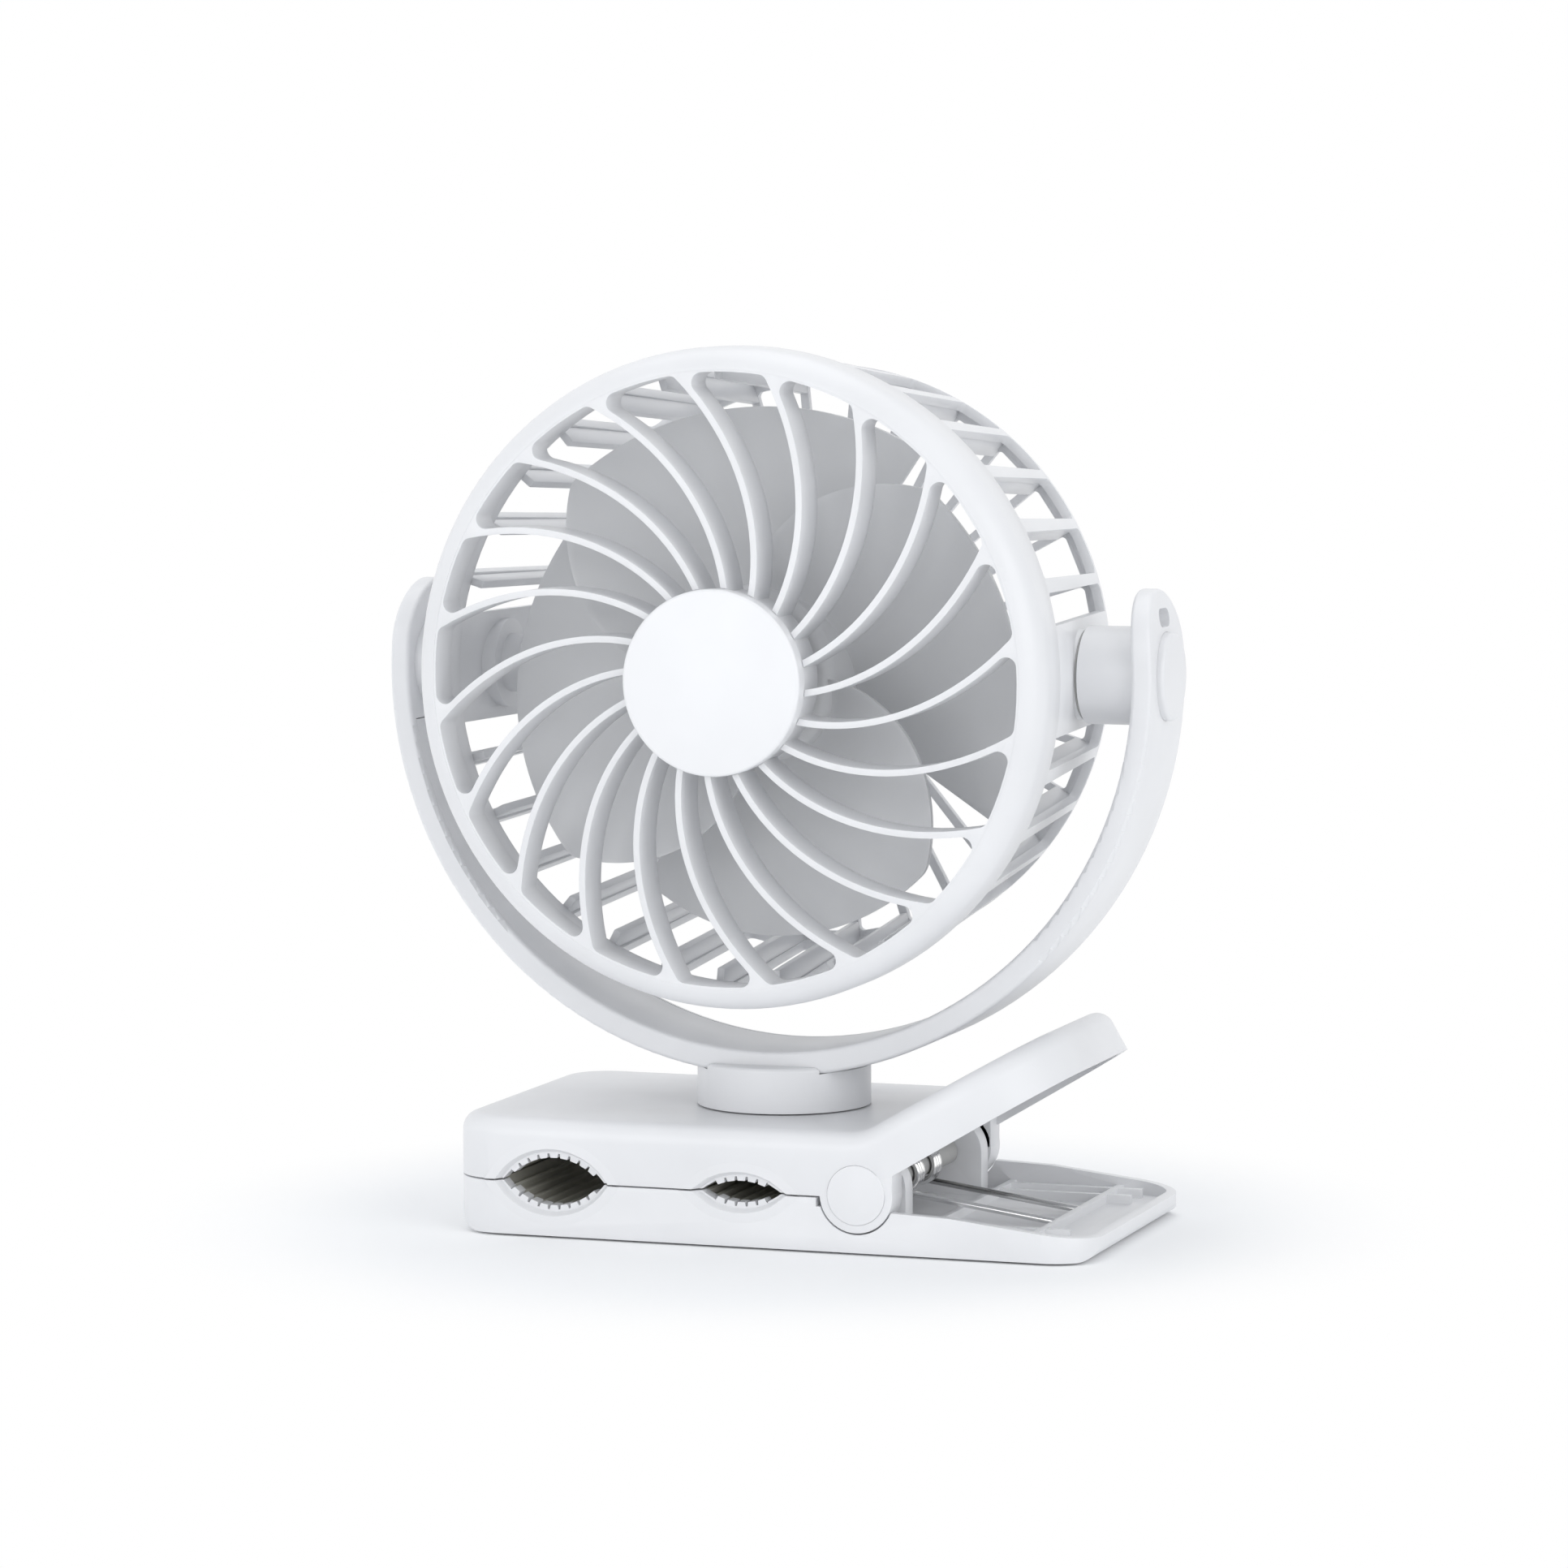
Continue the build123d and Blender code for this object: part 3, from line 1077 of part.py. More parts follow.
# ---- motor and impeller -------------------------------------------------------------------
def motor():
    """Round motor with a nose bearing."""
    back = SHELL_REAR + SHELL_WALL
    can = disc(MOTOR_R, back, MOTOR_FRONT)
    can = fillet(can.faces().sort_by(Axis.Z)[-1].edges(), MOTOR_ROUND)
    can = can + disc(MOTOR_NOSE_R, MOTOR_FRONT - 1, MOTOR_NOSE)
    can = can - disc(SHAFT_R + RUN, SHAFT_END[0] - 1, MOTOR_NOSE + 1)
    radius, depth = MOTOR_SCREW
    for spot in motor_screw_spots():
        can = can - spot * disc(radius + RUN, MOTOR_FRONT - depth, MOTOR_FRONT + 1)
    return HEAD * can


def motor_screw_spots():
    """Places of the two screws through the cover into the motor."""
    return [Pos(side * MOTOR_SCREW_RING, 0, 0) for side in (-1, 1)]


def motor_cover():
    """Cup over the motor, standing on the rear face of the housing."""
    back = SHELL_REAR + SHELL_WALL
    cup = disc(COVER_R, back, COVER_FRONT)
    cup = fillet(cup.faces().sort_by(Axis.Z)[-1].edges(), MOTOR_ROUND)
    cup = cup - disc(COVER_R - COVER_WALL, back - 1, COVER_FRONT - COVER_WALL)
    cup = cup - disc(MOTOR_NOSE_R + SLIP, back, COVER_FRONT + 1)
    for spot in motor_screw_spots():
        cup = cup - spot * disc(MOTOR_SCREW[0] + RUN, back, COVER_FRONT + 1)
    return HEAD * cup


def motor_screws():
    """Two screws that hold the motor under its cover."""
    radius, depth = MOTOR_SCREW
    head_r, head_t = MOTOR_SCREW_HEAD
    screw = disc(head_r, COVER_FRONT, COVER_FRONT + head_t)
    screw = screw + disc(radius, MOTOR_FRONT - depth + REST, COVER_FRONT + head_t / 2)
    return HEAD * Compound(children=[spot * screw for spot in motor_screw_spots()])


def motor_shaft():
    """Steel shaft from the motor into the impeller."""
    shaft = disc(SHAFT_R, *SHAFT_END)
    return HEAD * chamfer(shaft.edges().filter_by(GeomType.CIRCLE), SHAFT_CHAMFER)


def shaft_nut():
    """Hexagonal nut that keeps the impeller on its shaft."""
    radius, height = NUT
    nut = extrude(RegularPolygon(radius, 6), amount=height)
    nut = Pos(0, 0, ROTOR_HUB[1]) * nut
    return HEAD * (nut - disc(SHAFT_R + RUN, 0, CAP_FRONT))


def trail_angle(radius):
    """Angle of a blade's front edge at a radius."""
    start, start_r, slope, bend = BLADE_TRAIL
    out = radius - start_r
    return start - slope * out - bend * out ** 2


def blade_point(radius, share):
    """Point on the blade's twisted face; share runs from the rear to the front edge."""
    angle = radians(BLADE_LEAD + (trail_angle(radius) - BLADE_LEAD) * share)
    rise = BLADE_REAR + (BLADE_FRONT - BLADE_REAR) * share
    rise = rise + BLADE_CAMBER * sin(radians(180 * min(max(share, 0), 1)))
    return Vector(radius * cos(angle), radius * sin(angle), rise)


def blade_plan():
    """Outline of one blade seen along the shaft, as a tall prism."""
    def at(radius, angle):
        return (radius * cos(radians(angle)), radius * sin(radians(angle)))

    span = BLADE_TIP_R - BLADE_ROOT_R
    radii = [BLADE_ROOT_R + span * step / 4 for step in range(5)]
    front = Spline(*[at(r, trail_angle(r)) for r in radii])
    tip_mid = (trail_angle(BLADE_TIP_R) + BLADE_LEAD) / 2
    tip = ThreePointArc(front @ 1, at(BLADE_TIP_R, tip_mid), at(BLADE_TIP_R, BLADE_LEAD))
    rear = Line(tip @ 1, at(BLADE_ROOT_R, BLADE_LEAD))
    root_mid = (trail_angle(BLADE_ROOT_R) + BLADE_LEAD) / 2
    root = ThreePointArc(rear @ 1, at(BLADE_ROOT_R, root_mid), front @ 0)
    outline = make_face([front, tip, rear, root])
    corner = outline.vertices().sort_by_distance((*at(BLADE_TIP_R, trail_angle(BLADE_TIP_R)), 0))
    outline = fillet(corner[0], BLADE_ROUND)
    return Pos(0, 0, -BLADE_TIP_R) * extrude(outline, amount=2 * BLADE_TIP_R)


def blade():
    """One twisted blade, thickened from its face and trimmed to its outline."""
    start_r, end_r = BLADE_ROOT_R - BLADE_SPARE_IN, BLADE_TIP_R + BLADE_SPARE_OUT
    radii = [start_r + (end_r - start_r) * step / 5 for step in range(6)]
    shares = [step / 8 * (1 + 2 * BLADE_SPARE_EDGE) - BLADE_SPARE_EDGE for step in range(9)]
    grid = [[blade_point(r, t) for t in shares] for r in radii]
    face = Face.make_surface_from_array_of_points(grid)
    body = Solid.thicken(face, BLADE_T)
    return body & blade_plan()


def impeller():
    """Cup-shaped hub with four wide twisted blades."""
    rear, front = ROTOR_HUB
    hub = disc(ROTOR_HUB_R, rear, front)
    hub = fillet(hub.faces().sort_by(Axis.Z)[-1].edges(), ROTOR_ROUND)
    hub = hub - disc(ROTOR_HUB_IN_R, rear - 1, front - ROTOR_FACE_T)
    hub = hub + disc(ROTOR_BOSS_R, rear + 1, front - ROTOR_FACE_T / 2)
    hub = hub.fuse(*spun(blade(), BLADES))
    return HEAD * (hub - disc(SHAFT_R + RUN, rear - 1, front + 1))


PIECES = {
    "lower_jaw": lower_jaw,
    "foot_pad": foot_pad,
    "lower_grip_large": lambda: grip_liner(*HOLES[0], False),
    "lower_grip_small": lambda: grip_liner(*HOLES[1], False),
    "hinge_pin": hinge_pin,
    "pin_sleeve": pin_sleeve,
    "torsion_spring": torsion_spring,
    "upper_jaw": upper_jaw,
    "upper_grip_large": lambda: grip_liner(*HOLES[0], True),
    "upper_grip_small": lambda: grip_liner(*HOLES[1], True),
    "hinge_caps": hinge_caps,
    "jaw_plate": jaw_plate,
    "jaw_screws": jaw_screws,
    "battery": battery,
    "control_board": control_board,
    "usb_socket": usb_socket,
    "indicator_lens": indicator_lens,
    "power_button": power_button,
    "yoke": yoke,
    "yoke_cover": yoke_cover,
    "swivel_drum": swivel_drum,
    "yoke_screws": yoke_screws,
    "swivel_washer": swivel_washer,
    "swivel_screws": swivel_screws,
    "pivot_caps": pivot_caps,
    "rear_housing": rear_housing,
    "front_grille": front_grille,
    "centre_cap": centre_cap,
    "pivot_screws": pivot_screws,
    "pivot_washers": pivot_washers,
    "motor": motor,
    "motor_cover": motor_cover,
    "motor_screws": motor_screws,
    "motor_shaft": motor_shaft,
    "shaft_nut": shaft_nut,
    "impeller": impeller,
}


def main():
    """Write one file for each piece."""
    os.makedirs("parts", exist_ok=True)
    for name, make in PIECES.items():
        export_step(make(), os.path.join("parts", name + ".step"))


if __name__ == "__main__":
    main()
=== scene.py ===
"""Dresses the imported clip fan: studio, camera, moulded finishes and finer pieces.

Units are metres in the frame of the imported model: +Z up, the fan blows toward -Y.
"""

import logging
from collections.abc import Iterable, Sequence
from dataclasses import dataclass, field
from enum import Enum
from math import acos, cos, radians, sin

import bmesh
import bpy
from mathutils import Matrix, Vector


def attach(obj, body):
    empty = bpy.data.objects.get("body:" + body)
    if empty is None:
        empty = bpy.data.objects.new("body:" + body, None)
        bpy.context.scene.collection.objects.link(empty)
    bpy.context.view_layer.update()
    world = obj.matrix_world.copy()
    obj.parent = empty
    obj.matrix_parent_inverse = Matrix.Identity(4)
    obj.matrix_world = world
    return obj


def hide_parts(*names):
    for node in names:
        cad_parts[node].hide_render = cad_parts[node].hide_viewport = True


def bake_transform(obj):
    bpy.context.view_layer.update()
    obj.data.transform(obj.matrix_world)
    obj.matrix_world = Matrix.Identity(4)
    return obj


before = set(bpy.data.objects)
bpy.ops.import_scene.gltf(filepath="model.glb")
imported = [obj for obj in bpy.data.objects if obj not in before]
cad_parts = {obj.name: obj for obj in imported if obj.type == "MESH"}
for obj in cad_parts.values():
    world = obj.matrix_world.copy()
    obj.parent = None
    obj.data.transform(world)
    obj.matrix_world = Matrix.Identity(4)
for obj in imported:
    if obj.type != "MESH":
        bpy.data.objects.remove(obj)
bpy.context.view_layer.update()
MM = 0.001
WELD_REACH = 0.002 * MM
WHITE = (1, 1, 1, 1)
log = logging.getLogger("clip_fan")


class Surface(Enum):
    """How the fine surface of a finish is made."""

    GRAINED = "grained"
    DRAWN = "drawn"
    CLEAR = "clear"


@dataclass(frozen=True)
class Finish:
    """One procedural material.

    Attributes:
        name: Name of the Blender material.
        colour: Linear base colour.
        surface: Which fine surface the nodes give.
        roughness: Middle of the roughness.
        spread: How far the roughness and colour wander.
        grain: Grains for each metre.
        bump: Depth of the grain in metres.
        metallic: One for bare metal.
        coat: Weight of the clear coat.
        scatter: Weight of the light that goes under the surface.
        colour_patches: Patches of slightly other colour for each metre.
        sheen_patches: Patches of slightly other roughness for each metre.
        waver: How far drawn lines stray from straight.
    """

    name: str
    colour: tuple[float, float, float]
    surface: Surface = Surface.GRAINED
    roughness: float = 0.42
    spread: float = 0.04
    grain: float = 2600.0
    bump: float = 0.00001
    metallic: float = 0.0
    coat: float = 0.0
    scatter: float = 0.0
    colour_patches: float = 35.0
    sheen_patches: float = 120.0
    waver: float = 6.0

    def material(self) -> bpy.types.Material:
        """Makes the material, or gives the one that was made before.

        Returns:
            The Blender material.
        """
        made = bpy.data.materials.get(self.name)
        if made:
            return made
        made = bpy.data.materials.new(self.name)
        made.use_nodes = True
        tree = made.node_tree
        shader = tree.nodes["Principled BSDF"]
        shader.inputs["Metallic"].default_value = self.metallic
        shader.inputs["Coat Weight"].default_value = self.coat
        shader.inputs["Coat Roughness"].default_value = 0.2
        shader.inputs["Subsurface Weight"].default_value = self.scatter
        shader.inputs["Subsurface Radius"].default_value = (0.002, 0.002, 0.0018)
        if self.surface is Surface.CLEAR:
            shader.inputs["Transmission Weight"].default_value = 0.7
        place = tree.nodes.new("ShaderNodeTexCoord")
        self._colour_nodes(tree, shader, place)
        self._roughness_nodes(tree, shader, place)
        self._bump_nodes(tree, shader, place)
        return made

    def _noise(self, tree: bpy.types.NodeTree, place: bpy.types.Node, scale: float,
               detail: float = 3.0) -> bpy.types.Node:
        """Adds a noise pattern on Object coordinates.

        Args:
            tree: Node tree of the material.
            place: Its Texture Coordinate node.
            scale: Pattern scale for each metre.
            detail: Octaves of the noise.

        Returns:
            The noise node.
        """
        noise = tree.nodes.new("ShaderNodeTexNoise")
        noise.inputs["Scale"].default_value = scale
        noise.inputs["Detail"].default_value = detail
        tree.links.new(place.outputs["Object"], noise.inputs["Vector"])
        return noise

    def _colour_nodes(self, tree: bpy.types.NodeTree, shader: bpy.types.Node,
                      place: bpy.types.Node) -> None:
        """Lets the colour wander slightly over the piece.

        Args:
            tree: Node tree of the material.
            shader: Its Principled shader.
            place: Its Texture Coordinate node.
        """
        noise = self._noise(tree, place, self.colour_patches)
        ramp = tree.nodes.new("ShaderNodeValToRGB")
        low, high = ramp.color_ramp.elements
        low.position, high.position = 0.3, 0.7
        low.color = (*[c * (1 - self.spread) for c in self.colour], 1)
        high.color = (*[min(1.0, c * (1 + self.spread / 3)) for c in self.colour], 1)
        tree.links.new(noise.outputs["Fac"], ramp.inputs["Fac"])
        tree.links.new(ramp.outputs["Color"], shader.inputs["Base Color"])

    def _roughness_nodes(self, tree: bpy.types.NodeTree, shader: bpy.types.Node,
                         place: bpy.types.Node) -> None:
        """Lets the roughness wander slightly over the piece.

        Args:
            tree: Node tree of the material.
            shader: Its Principled shader.
            place: Its Texture Coordinate node.
        """
        noise = self._noise(tree, place, self.sheen_patches)
        span = tree.nodes.new("ShaderNodeMapRange")
        span.inputs["To Min"].default_value = self.roughness - self.spread
        span.inputs["To Max"].default_value = self.roughness + self.spread
        tree.links.new(noise.outputs["Fac"], span.inputs["Value"])
        tree.links.new(span.outputs["Result"], shader.inputs["Roughness"])

    def _bump_nodes(self, tree: bpy.types.NodeTree, shader: bpy.types.Node,
                    place: bpy.types.Node) -> None:
        """Gives the fine grain of the surface.

        Args:
            tree: Node tree of the material.
            shader: Its Principled shader.
            place: Its Texture Coordinate node.
        """
        if self.surface is Surface.DRAWN:
            grain = tree.nodes.new("ShaderNodeTexWave")
            grain.inputs["Scale"].default_value = self.grain
            grain.inputs["Distortion"].default_value = self.waver
            tree.links.new(place.outputs["Object"], grain.inputs["Vector"])
        else:
            grain = self._noise(tree, place, self.grain, 2.0)
        bump = tree.nodes.new("ShaderNodeBump")
        bump.inputs["Strength"].default_value = 0.5
        bump.inputs["Distance"].default_value = self.bump
        tree.links.new(grain.outputs["Fac"], bump.inputs["Height"])
        tree.links.new(bump.outputs["Normal"], shader.inputs["Normal"])


SHELL = Finish("satin_white_shell", (0.79, 0.795, 0.81), coat=0.15, scatter=0.03)
CAP = Finish("bright_white_cap", (0.85, 0.855, 0.87), roughness=0.35, coat=0.2)
BLADE = Finish("cool_white_blade", (0.72, 0.725, 0.735), roughness=0.38, scatter=0.1)
GREY = Finish("pale_grey_plastic", (0.48, 0.48, 0.47), roughness=0.5)
# The grip colour is painted light: far paler than the dark olive rubber, so that it stands in
# for light that the deep grip holes don't get.
GRIP_PAINTED_LIGHT = Finish("grip_rubber_painted_light", (0.6, 0.59, 0.53), Surface.GRAINED, 0.55, 0.08)
PAD = Finish("black_foot_rubber", (0.02, 0.02, 0.02), Surface.GRAINED, 0.75, 0.06)
STEEL = Finish("drawn_steel", (0.62, 0.62, 0.62), Surface.DRAWN, 0.28, 0.05, 900.0,
               0.000004, metallic=1.0)
SPRING_STEEL = Finish("bright_spring_steel", (0.74, 0.74, 0.74), Surface.DRAWN, 0.18,
                      0.04, 1200.0, 0.000003, metallic=1.0)
BRASS = Finish("turned_brass", (0.72, 0.52, 0.24), Surface.DRAWN, 0.3, 0.05, 900.0,
               0.000004, metallic=1.0)
WRAP = Finish("blue_cell_wrap", (0.08, 0.18, 0.36), Surface.GRAINED, 0.3, 0.05, 700.0)
BOARD = Finish("green_board", (0.015, 0.11, 0.045), Surface.GRAINED, 0.4, 0.08, 1500.0)
LENS = Finish("clear_lamp_lens", (0.85, 0.9, 0.86), Surface.CLEAR, 0.12, 0.02)


def dress(nodes: Iterable[str], finish: Finish, rounding: float = 0.0,
          sharp: float = 30.0) -> None:
    """Gives CAD nodes one finish, rounds their edges and smooths their curved faces.

    Args:
        nodes: Names of the nodes.
        finish: The finish that they take.
        rounding: Width of the rounding in metres, or zero for none.
        sharp: Edges above this angle in degrees stay edges.
    """
    for name in nodes:
        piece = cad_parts[name]
        mesh = piece.data
        mesh.materials.clear()
        mesh.materials.append(finish.material())
        mesh.polygons.foreach_set("use_smooth", [True] * len(mesh.polygons))
        weld = piece.modifiers.new("weld", "WELD")
        weld.merge_threshold = WELD_REACH
        if rounding:
            bevel = piece.modifiers.new("rounding", "BEVEL")
            bevel.width = rounding
            bevel.segments = 2
            bevel.limit_method = "ANGLE"
            bevel.angle_limit = radians(sharp)
            bevel.miter_outer = "MITER_ARC"
        split = piece.modifiers.new("edges", "EDGE_SPLIT")
        split.split_angle = radians(sharp)


def shaded(form: bmesh.types.BMesh, name: str, finish: Finish) -> bpy.types.Object:
    """Turns a mesh into a smooth piece in the scene.

    Args:
        form: The mesh, which is freed.
        name: Name of the piece.
        finish: The finish that it takes.

    Returns:
        The piece, which doesn't follow a body yet.
    """
    for face in form.faces:
        face.smooth = True
    mesh = bpy.data.meshes.new(name)
    form.to_mesh(mesh)
    form.free()
    mesh.materials.append(finish.material())
    piece = bpy.data.objects.new(name, mesh)
    bpy.context.scene.collection.objects.link(piece)
    log.info("built %s", name)
    return piece


def finished(form: bmesh.types.BMesh, name: str, finish: Finish, body: str,
             sharp: float = 30.0) -> None:
    """Turns a mesh into a finished piece that rides on a body.

    Args:
        form: The mesh, which is freed.
        name: Name of the piece.
        finish: The finish that it takes.
        body: The body that it rides on.
        sharp: Edges above this angle in degrees stay edges.
    """
    bmesh.ops.recalc_face_normals(form, faces=form.faces[:])
    piece = shaded(form, name, finish)
    piece.data.set_sharp_from_angle(angle=radians(sharp))
    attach(piece, body)


def prism(form: bmesh.types.BMesh, outline: Sequence[Vector], depth: Vector,
          rounding: float) -> None:
    """Adds a straight-walled block with rounded edges to a mesh.

    Args:
        form: The mesh that takes the block.
        outline: Corners of its first face.
        depth: From the first face to the last.
        rounding: Width of the rounding along its edges.
    """
    base = form.faces.new([form.verts.new(corner) for corner in outline])
    grown = bmesh.ops.extrude_face_region(form, geom=[base])
    moved = [item for item in grown["geom"] if isinstance(item, bmesh.types.BMVert)]
    bmesh.ops.translate(form, vec=depth, verts=moved)
    edges = {edge for corner in [*base.verts, *moved] for edge in corner.link_edges}
    bmesh.ops.bevel(form, geom=list(edges), offset=rounding, offset_type="OFFSET",
                    affect="EDGES", segments=2, profile=0.5, material=-1,
                    clamp_overlap=True)


def rows(form: bmesh.types.BMesh, lines: Sequence[Sequence[Vector]]) -> None:
    """Joins point rows into a closed band with a cap at each end.

    Args:
        form: The mesh that takes the band.
        lines: Rows with the same number of points, in order round the band.
    """
    grid = [[form.verts.new(point) for point in line] for line in lines]
    for this, after in zip(grid, grid[1:] + grid[:1]):
        for a, b, c, d in zip(this, this[1:], after[1:], after):
            form.faces.new((a, b, c, d))
    form.faces.new([line[0] for line in grid])
    form.faces.new([line[-1] for line in reversed(grid)])


@dataclass(frozen=True)
class GripHole:
    """One arc of a grip hole: a smooth rim outside and a recessed comb inside.

    Attributes:
        x: Middle of the hole.
        half_chord: Half the hole's length along the seam.
        rise: From the seam to the crown.
        upper: True in the upper jaw.
        face_y: Side face of the jaw.
        comb_y: Where the comb starts behind the smooth rim.
        back_y: Where the comb ends inside the hole.
        rim: Width of the smooth rim.
        lip: Rounding between the rim and the hole.
        draft: How far the rim's inside closes toward the comb.
        groove: Depth of the comb's grooves inside the arc.
        tooth: Height of a tooth above its groove.
        pitch: From tooth to tooth.
        foot_share: Half width of a tooth at its foot, in pitches.
        crest_share: Half width of a tooth at its crest, in pitches.
        bed: How far the piece is bedded in the jaw.
        lower_seam: Height of the lower jaw's seam.
        upper_seam: Height of the upper jaw's seam.
    """

    x: float
    half_chord: float
    rise: float
    upper: bool
    face_y: float = 39.32 * MM
    comb_y: float = 37.55 * MM
    back_y: float = 34.1 * MM
    rim: float = 2.2 * MM
    lip: float = 0.15 * MM
    draft: float = 0.7 * MM
    groove: float = 1.1 * MM
    tooth: float = 0.95 * MM
    pitch: float = 2.5 * MM
    foot_share: float = 0.41
    crest_share: float = 0.34
    bed: float = 0.5 * MM
    lower_seam: float = 12.1 * MM
    upper_seam: float = 12.5 * MM

    @property
    def radius(self) -> float:
        """Radius of the rim's arc."""
        return (self.half_chord ** 2 + self.rise ** 2) / (2 * self.rise)

    @property
    def drop(self) -> float:
        """From the seam to the centre of the arc."""
        return self.radius - self.rise

    def point(self, radius: float, angle: float, y: float) -> Vector:
        """Gives a point of the arc in the frame.

        Args:
            radius: Distance from the centre of the arc.
            angle: From the crown, in radians.
            y: Station across the fan.

        Returns:
            The point.
        """
        side = 1 if self.upper else -1
        seam = self.upper_seam if self.upper else self.lower_seam
        height = radius * cos(angle) - self.drop
        return Vector((self.x + radius * sin(angle), y, seam + side * height))

    def comb_line(self) -> list[tuple[float, float]]:
        """Gives the teeth of the comb, from seam to seam.

        Returns:
            Radius and angle pairs.
        """
        foot_r = self.radius - self.groove
        crest_r = foot_r - self.tooth
        step = self.pitch / foot_r
        reach = acos(self.drop / crest_r)
        count = int(reach / step - 0.5)
        line = []
        for number in range(-count, count + 1):
            for share, radius in ((-self.foot_share, foot_r), (-self.crest_share, crest_r),
                                  (self.crest_share, crest_r), (self.foot_share, foot_r)):
                line.append((radius, (number + share) * step))
        end = acos(self.drop / foot_r)
        return [(foot_r, -end), *line, (foot_r, end)]

    def smooth_line(self, radius: float, y: float, angles: Sequence[float]) -> list[Vector]:
        """Gives the points of one plain arc from seam to seam.

        Args:
            radius: Radius of the arc.
            y: Station across the fan.
            angles: Angles of the comb's points, which the arc's points keep to.

        Returns:
            One point for each angle.
        """
        scale = acos(self.drop / radius) / angles[-1]
        return [self.point(radius, angle * scale, y) for angle in angles]

    def add(self, form: bmesh.types.BMesh, side: int) -> None:
        """Adds the rim and comb at one side of the fan.

        Args:
            form: The mesh that takes them.
            side: One for +Y, minus one for -Y.
        """
        comb = self.comb_line()
        angles = [angle for _, angle in comb]
        radius = self.radius
        arcs = ((radius + self.rim, self.face_y), (radius + self.lip, self.face_y),
                (radius, self.face_y - self.lip),
                (radius - self.draft, self.comb_y))
        lines = [self.smooth_line(r, side * y, angles) for r, y in arcs]
        for y in (self.comb_y, self.back_y):
            lines.append([self.point(r, angle, side * y) for r, angle in comb])
        hidden = ((radius + self.bed, self.back_y), (radius + self.bed, self.comb_y),
                  (radius + self.rim, self.face_y - 2 * self.lip))
        lines += [self.smooth_line(r, side * y, angles) for r, y in hidden]
        rows(form, lines)


@dataclass
class SubAssembly:
    """One moving group of the fan.

    Attributes:
        edge: Width of the rounding along its moulded edges.
    """

    edge: float = 0.3 * MM

    def dress(self) -> None:
        """Finishes the CAD pieces of the group."""
        raise NotImplementedError

    def build(self) -> None:
        """Builds nothing, where the frame holds all pieces of the group."""


@dataclass
class ClipBase(SubAssembly):
    """Both jaws, their liners, the spring and the controls.

    Attributes:
        holes: Middle, half chord and rise of each grip hole.
        hinge: Hinge axis, as x and height.
        spring_turn: Height above the hinge where the spring would wholly follow the handle; not
            used.
        cheek_radius: Radius of the round hinge cheek.
        cheek_y: Inner and outer face of the cheek.
        handle_low: A point of the handle's lower edge and the edge's slope.
        wall: Thickness of the moulded wall.
    """

    holes: tuple[tuple[float, float, float], ...] = (
        (-40.4 * MM, 13.15 * MM, 7.1 * MM), (3.1 * MM, 10.8 * MM, 4.2 * MM))
    hinge: tuple[float, float] = (29.8 * MM, 13.0 * MM)
    spring_turn: float = 3.0 * MM
    cheek_radius: float = 8.2 * MM
    cheek_y: tuple[float, float] = (32.3 * MM, 39.29 * MM)
    handle_low: tuple[float, float, float] = (34.5 * MM, 15.6 * MM, 0.61)
    wall: float = 2.2 * MM

    def grip_rims(self) -> None:
        """Builds the smooth rims and combs of both holes in each jaw."""
        for upper, jaw, body in ((True, "upper", "upper_clip"), (False, "lower", "lower_clip")):
            form = bmesh.new()
            for hole in self.holes:
                for side in (-1, 1):
                    GripHole(*hole, upper).add(form, side)
            finished(form, f"{jaw}_grip_rims", SHELL, body, 25.0)

    def cheek_corners(self) -> None:
        """Builds the square corner between each hinge cheek and the handle."""
        x, z = self.hinge
        end = x + self.cheek_radius
        low_x, low_z, slope = self.handle_low
        near, far = self.cheek_y
        outline = ((x, z), (end, z), (end, low_z + slope * (end - low_x) + self.wall),
                   (x, low_z + slope * (x - low_x) + self.wall))
        form = bmesh.new()
        for side in (-1, 1):
            face = [Vector((px, side * far, pz)) for px, pz in outline]
            prism(form, face, Vector((0, side * (near - far), 0)), self.edge)
        finished(form, "cheek_corners", SHELL, "upper_clip")

    def spring_wire(self) -> None:
        """Makes the spring from its CAD form, with its doubled points merged."""
        form = bmesh.new()
        form.from_mesh(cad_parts["torsion_spring"].data)
        bmesh.ops.remove_doubles(form, verts=form.verts[:], dist=WELD_REACH)
        wire = shaded(form, "spring_wire", SPRING_STEEL)
        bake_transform(wire)
        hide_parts("torsion_spring")

    def build(self) -> None:
        """Builds the finer pieces of the clip."""
        self.grip_rims()
        self.cheek_corners()
        self.spring_wire()

    def dress(self) -> None:
        """Finishes the CAD pieces of the clip."""
        dress(("lower_jaw", "upper_jaw", "jaw_plate", "hinge_caps"), SHELL, self.edge)
        dress(("power_button",), GREY, self.edge)
        dress(("pin_sleeve",), GREY)
        dress(("lower_grip_large", "lower_grip_small", "upper_grip_large",
               "upper_grip_small"), GRIP_PAINTED_LIGHT)
        dress(("foot_pad",), PAD)
        dress(("hinge_pin", "jaw_screws", "usb_socket"), STEEL)
        dress(("battery",), WRAP)
        dress(("control_board",), BOARD)
        dress(("indicator_lens",), LENS)


@dataclass
class SwivelBow(SubAssembly):
    """The bow-shaped yoke on its swivel foot."""

    edge: float = 0.25 * MM

    def dress(self) -> None:
        """Finishes the CAD pieces of the bow."""
        dress(("yoke_cover", "swivel_drum"), SHELL, self.edge)
        dress(("yoke", "pivot_caps"), SHELL)
        dress(("swivel_washer",), GREY)
        dress(("yoke_screws", "swivel_screws"), STEEL)


